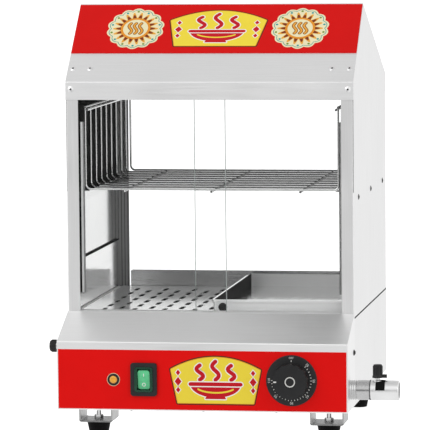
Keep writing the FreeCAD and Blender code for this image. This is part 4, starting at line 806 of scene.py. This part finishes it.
addPiece("fascia_badge", badgeParts(badge["fascia"], facePlane), "cabinet")
signParts = badgeParts(badge["sign"], signPlane)
for middle in medallion["middles"]:
    signParts += medallionParts(medallion, middle, signPlane)
addPiece("sign_badge", signParts, "cabinet")
print("prints laid on")

dial = {
    "ticks": 26, "first": 45, "step": 9, "tickRadius": 23.9, "tickLong": 1.9, "tickWide": 0.8,
    "offTickLong": 2.2, "offTickWide": 0.9, "offTall": 2.4, "offRadius": 27.7,
    "labels": ("35", "50", "65", "80", "95", "110"), "labelRadius": 27.3, "labelTall": 3.0, "labelStep": 45,
    "ink": 0.12,
}


# Where the vertices of a mesh are, one row for each.
def meshPoints(mesh):
    points = np.zeros(len(mesh.vertices) * 3)
    mesh.vertices.foreach_get("co", points)
    return points.reshape(-1, 3)


# The way out and the way across, (sin a, cos a) and (cos a, -sin a), at an angle clockwise from the top.
def clockWays(clockwise):
    angle = math.radians(clockwise)
    return np.array([math.sin(angle), math.cos(angle)]), np.array([math.cos(angle), -math.sin(angle)])


# Words as flat prisms: the text is made a mesh, turned clockwise from the top and set at a radius.
def wordPart(text, tall, radius, clockwise, thick, kind, plane):
    data = bpy.data.curves.new("words", "FONT")
    data.body = text
    data.size = 10
    data.extrude = 0.5
    data.align_x, data.align_y = "CENTER", "CENTER"
    data.resolution_u = 3
    holder = addObject("words", data)
    bpy.context.view_layer.update()
    made = bpy.data.meshes.new_from_object(holder)
    points = meshPoints(made)
    faces = [list(face.vertices) for face in made.polygons]
    bpy.data.objects.remove(holder)
    bpy.data.curves.remove(data)
    bpy.data.meshes.remove(made)
    span = points.max(0) - points.min(0)
    points = points - (points.max(0) + points.min(0)) / 2
    points[:, :2] *= tall / span[1]
    points[:, 2] = np.where(points[:, 2] > 0, thick, 0.0)
    out, across = clockWays(clockwise)
    flat = points[:, :1] * across + points[:, 1:2] * out + out * radius
    return onPlane(np.column_stack([flat, points[:, 2]]), plane), faces, kind


# A bar across a radius: its middle at the radius, turned clockwise from the top.
def barOutline(radius, long, wide, clockwise):
    out, across = clockWays(clockwise)
    corners = np.array([[-wide, -long], [wide, -long], [wide, long], [-wide, long]]) / 2
    return corners[:, :1] * across + corners[:, 1:] * out + out * radius


# The ticks of the dial, a wider one for off, then its words.
def dialParts(values, plane):
    ink, kind = values["ink"], "dialMark"
    ticks = [(values["tickLong"], values["tickWide"], values["first"] + step * values["step"])
             for step in range(values["ticks"])] + [(values["offTickLong"], values["offTickWide"], 0)]
    words = [("OFF", values["offTall"], values["offRadius"], 0)]
    for place, label in enumerate(values["labels"], start=1):
        words.append((label, values["labelTall"], values["labelRadius"], place * values["labelStep"]))
    return ([plate(barOutline(values["tickRadius"], *tick), 0, ink, kind, plane) for tick in ticks]
            + [wordPart(*word, ink, kind, plane) for word in words])


dialMiddle = nodeMiddle("dial_plate")
dialPlane = uprightPlane(dialMiddle, nodeBox("dial_plate")[0][1])
addPiece("dial_marks", dialParts(dial, dialPlane), "cabinet")

hub = {"radius": 6.3, "wide": 1.3, "sink": 1.8, "high": 0.25}


# A flat ring: a low rectangular profile carried round a circle.
def ringPart(radius, wide, low, high, kind, plane, count=72):
    angle = np.linspace(0, fullTurn, count, endpoint=False)[:, None]
    profile = np.array([[radius, low], [radius, high], [radius - wide, high], [radius - wide, low]])
    reach, level = profile[:, 0][None], profile[:, 1][None] + 0 * angle
    points = np.stack([reach * np.cos(angle), reach * np.sin(angle), level], axis=-1).reshape(-1, 3)
    step, corner = np.meshgrid(np.arange(count), np.arange(4), indexing="ij")
    ahead, following = (step + 1) % count, (corner + 1) % 4
    quads = np.stack([step * 4 + corner, ahead * 4 + corner, ahead * 4 + following, step * 4 + following],
                     axis=-1)
    return onPlane(points, plane), quads.reshape(-1, 4).tolist(), kind


hubPlane = uprightPlane(dialMiddle, knobFace + hub["sink"] * mm)
addPiece("knob_ring", [ringPart(hub["radius"], hub["wide"], 0, hub["high"], "dialMark", hubPlane)], "knob")

rocker = {
    "tilt": 8, "face": 3.0, "rise": 1.6, "reach": 24.4, "ink": 0.14, "sunk": 0.1,
    "barUp": 6.0, "barLong": 3.8, "barWide": 0.9, "barSoft": 0.3,
    "ringUp": -6.0, "ringRadius": 2.3, "ringWide": 0.75,
}
pivot = np.array([j for j in frame["joints"] if j["name"] == "power_rocker_tip"][0]["pos_m"])
lean = math.radians(90 + rocker["tilt"])


# The plane of one half of the rocker: the face rises by rise / reach away from the pivot.
def rockerPlane(height):
    bend = math.atan2(rocker["rise"], rocker["reach"]) * (1 if height > 0 else -1)
    up = np.array([0, math.cos(lean), math.sin(lean)])
    out = np.array([0, -math.sin(lean), math.cos(lean)])
    level = rocker["face"] + rocker["rise"] * abs(height) / rocker["reach"]
    return (pivot + mm * (up * height + out * level), facePlane[1],
            up * math.cos(bend) + out * math.sin(bend))


rockerBar = rounded(barOutline(0, rocker["barLong"], rocker["barWide"], 0), rocker["barSoft"], count=60)
addPiece("rocker_marks", [
    plate(rockerBar, -rocker["sunk"], rocker["ink"], "white", rockerPlane(rocker["barUp"])),
    ringPart(rocker["ringRadius"], rocker["ringWide"], -rocker["sunk"], rocker["ink"], "white",
             rockerPlane(rocker["ringUp"])),
], "rocker")

lampRim = {"radius": 7.9, "wide": 0.55, "low": -0.1, "high": 0.5}
lampPlane = uprightPlane(nodeMiddle("lamp_ring"), faceFront)
addPiece("lamp_rim", [ringPart(**lampRim, kind="pale", plane=lampPlane)], "cabinet")
print("controls marked")

# Heads of one node stand further apart than this reach. Each rivet's end, painted dark as the shade in its
# hollow, lies sunk under its top.
rivet = {"reach": 8.5, "radius": 1.2, "sink": 0.5, "high": 0.5}
cross = {"long": 3.4, "wide": 0.75, "low": -0.6, "high": 0.04, "turns": (20, 110)}


# Groups of vertices of a node that lie within reach of each other.
def heads(node, reach):
    points = meshPoints(frame["nodes"][node].data)
    found = []
    while len(points):
        near = np.linalg.norm(points - points[0], axis=1) < reach * mm
        found.append(points[near])
        points = points[~near]
    return found


# The plane on top of a head: its thinnest way is the axis, pointed away from the middle of the cabinet.
def headPlane(points, centre):
    middle = (points.max(0) + points.min(0)) / 2
    ways = np.linalg.svd(points - points.mean(0), full_matrices=False)[2]
    out = ways[2] * np.sign(ways[2] @ (middle - centre))
    across = ways[0]
    level = ((points - middle) @ out).max()
    return middle + out * level, across, np.cross(out, across)


cabinetMiddle = np.array([middleX, (sideLow[1] + sideHigh[1]) / 2, (sideLow[2] + sideHigh[2]) / 2])
rivetEnd, rivetLow = around(rivet["radius"], count=20), -rivet["sink"] - rivet["high"]
mandrels = [plate(rivetEnd, rivetLow, -rivet["sink"], "mandrel", headPlane(points, cabinetMiddle))
            for points in heads("blind_rivets", rivet["reach"])]
addPiece("rivet_mandrels", mandrels, "cabinet")
# The cross recesses of the screws are painted dark, a painted shade.
recesses = []
for points in heads("cover_screws", rivet["reach"]):
    plane = headPlane(points, cabinetMiddle)
    for turn in cross["turns"]:
        bar = barOutline(0, cross["long"], cross["wide"], turn)
        recesses.append(plate(bar, cross["low"], cross["high"], "mandrel", plane))
addPiece("screw_recesses", recesses, "cabinet")
print("rivets and screws finished:", len(mandrels), "rivets")

thread = {"radius": 11.3, "depth": 0.75, "pitch": 2.3, "gap": 0.05, "rowsPerTurn": 10, "count": 72}
collar = {"radius": 12.3, "half": 0.55, "count": 96}
pad = {"from": 23.3, "to": 34.5, "low": 6, "high": 84, "radius": 12.15, "thick": 0.7, "count": 24}


# Loops round an axis along X: each has its own place along it, and radii at the angles given.
def roundX(places, reaches, angle, middle):
    return np.stack([places, middle[1] + reaches * np.cos(angle), middle[2] + reaches * np.sin(angle)],
                    axis=-1)


# A thread: r = R + d (1 - |2 frac(x / p - a / 2 pi) - 1|), carried along X.
def threadPart(values, start, stop, middle):
    rows = int((stop - start) / mm / values["pitch"] * values["rowsPerTurn"])
    along, angle = np.meshgrid(np.linspace(start, stop, rows),
                               np.linspace(0, fullTurn, values["count"], endpoint=False), indexing="ij")
    phase = np.mod(along / mm / values["pitch"] - angle / fullTurn, 1)
    reach = (values["radius"] + values["depth"] * (1 - np.abs(2 * phase - 1))) * mm
    points, faces = skin(roundX(along, reach, angle, middle))
    return points, faces, "nutMetal"


# A short dark sleeve round X: two circles joined.
def collarPart(values, place, middle):
    half = values["half"] * mm
    along, angle = np.meshgrid([place - half, place + half],
                               np.linspace(0, fullTurn, values["count"], endpoint=False), indexing="ij")
    points, faces = skin(roundX(along, values["radius"] * mm, angle, middle))
    return points, faces, "mandrel"


# A square pad bent round the valve: a band of angles up from the front, at two radii.
def padPart(values, start, middle):
    angle = np.radians(np.linspace(values["low"], values["high"], values["count"]))
    section = np.concatenate([
        np.stack([-radius * np.cos(angle), radius * np.sin(angle)], axis=-1)[::way]
        for radius, way in ((values["radius"], 1), (values["radius"] + values["thick"], -1))])
    loops = np.stack([np.column_stack([np.full(len(section), start + reach * mm),
                                       middle[1] + section[:, 0] * mm, middle[2] + section[:, 1] * mm])
                      for reach in (values["from"], values["to"])])
    points, faces = skin(loops)
    return points, faces, "rubber"


nutLow, nutHigh = nodeBox("drain_nut")
nutMiddle = nodeMiddle("drain_nut")
gap = thread["gap"] * mm
threads = threadPart(thread, baseHigh[0] + gap, nutLow[0] - gap, nutMiddle)
addPiece("drain_thread", [threads], "cabinet", sharp=60)
addPiece("drain_collar", [collarPart(collar, nutHigh[0], nutMiddle)], "cabinet")
addPiece("valve_pad", [padPart(pad, nutLow[0], nutMiddle)], "cabinet")
print("drain finished")

studio = {
    "floor": 120.0, "floorTone": 0.8, "floorRough": 0.9, "floorGlow": 0.75, "ambient": 0.74, "eye": 0.25,
    "dark": 0.12, "darkWay": (-0.16, -0.98, -0.09), "darkInside": 6, "darkOutside": 24,
    "top": 0.66, "topLow": 0.5, "topHigh": 0.95,
    "lampAim": (0, 0, 0.25),
    "lamps": {                               # place, size and power
        "key": ((-2.2, -2.6, 2.6), 2.6, 34),
        "fill": ((3.0, -1.6, 1.8), 2.4, 16),
    },
}


# Share 1 for rays from the camera or through glass, and share 1 for rays that gloss has turned before.
def rayShares(nodes):
    path = nodes.add("LightPath").outputs
    seen = nodes.calc("MAXIMUM", path["Is Camera Ray"], path["Is Transmission Ray"])
    return seen, nodes.calc("GREATER_THAN", path["Glossy Depth"], 0.5)


# What gloss sees along a way: white, greyer overhead, and dark round the way that the front faces mirror.
def glossLevel(nodes, way, values):
    dot = nodes.add("VectorMath", way, Vector(values["darkWay"]).normalized())
    dot.operation = "DOT_PRODUCT"
    outside, inside = (math.cos(math.radians(values[key])) for key in ("darkOutside", "darkInside"))
    front = nodes.spread(dot.outputs["Value"], 1.0, values["dark"], outside, inside, "SMOOTHSTEP")
    height = nodes.add("SeparateXYZ", way).outputs["Z"]
    above = nodes.spread(height, 1.0, values["top"], values["topLow"], values["topHigh"], "SMOOTHSTEP")
    return nodes.calc("MULTIPLY", front, above)


# The floor is a pale matt plane that glows for the camera and through glass, so that it keeps a shadow; gloss
# sees it as a plain light whose level follows the way from the middle of the cabinet.
def addFloor(values):
    half = values["floor"] / 2
    corners = [(-half, -half, 0), (half, -half, 0), (half, half, 0), (-half, half, 0)]
    mesh = bpy.data.meshes.new("floor")
    mesh.from_pydata(corners, [], [(0, 1, 2, 3)])
    finish = Finish()
    finish.material.name = "paleFloor"
    seen, mirrored = rayShares(finish)
    finish.set(Base_Color=(values["floorTone"],) * 3, Roughness=values["floorRough"], Specular_IOR_Level=0.0,
               Emission_Color=(1, 1, 1), Emission_Strength=finish.calc("MULTIPLY", seen, values["floorGlow"]))
    lower = finish.add("VectorMath", finish.place(), (0, 0, -values["eye"]))
    unit = finish.add("VectorMath", lower.outputs["Vector"])
    unit.operation = "NORMALIZE"
    light = finish.add("Emission", (1, 1, 1), glossLevel(finish, unit.outputs["Vector"], values))
    surface = finish.join(mirrored, finish.shader.outputs[0], light.outputs[0])
    finish.fill(finish.output.inputs["Surface"], surface)
    mesh.materials.append(finish.material)
    addObject("floor", mesh)


# Square lamps that look at one place in the cabinet.
def addLamps(values):
    for name, (place, size, power) in values["lamps"].items():
        data = bpy.data.lights.new(name, "AREA")
        data.energy, data.size = power, size
        aim = Vector(values["lampAim"]) - Vector(place)
        turned = aim.to_track_quat("-Z", "Y").to_matrix().to_4x4()
        addObject(name, data).matrix_world = Matrix.Translation(place) @ turned


# White for the camera and through glass, the level above for gloss, and a plain ambient light for the rest.
def addWorld(values):
    world = bpy.data.worlds.new("studio")
    bpy.context.scene.world = world
    world.use_nodes = True
    nodes = Nodes(world.node_tree)
    seen, mirrored = rayShares(nodes)
    level = glossLevel(nodes, nodes.add("TexCoord").outputs["Generated"], values)
    plain = nodes.calc("MAXIMUM", seen, values["ambient"])
    rest = nodes.calc("MULTIPLY", nodes.calc("SUBTRACT", 1.0, mirrored), plain)
    sky = world.node_tree.nodes["Background"].inputs
    nodes.fill(sky["Color"], (1, 1, 1))
    nodes.fill(sky["Strength"], nodes.calc("ADD", nodes.calc("MULTIPLY", mirrored, level), rest))


addFloor(studio)
addLamps(studio)
addWorld(studio)
bpy.context.scene.view_settings.view_transform = "Standard"
print("studio set")
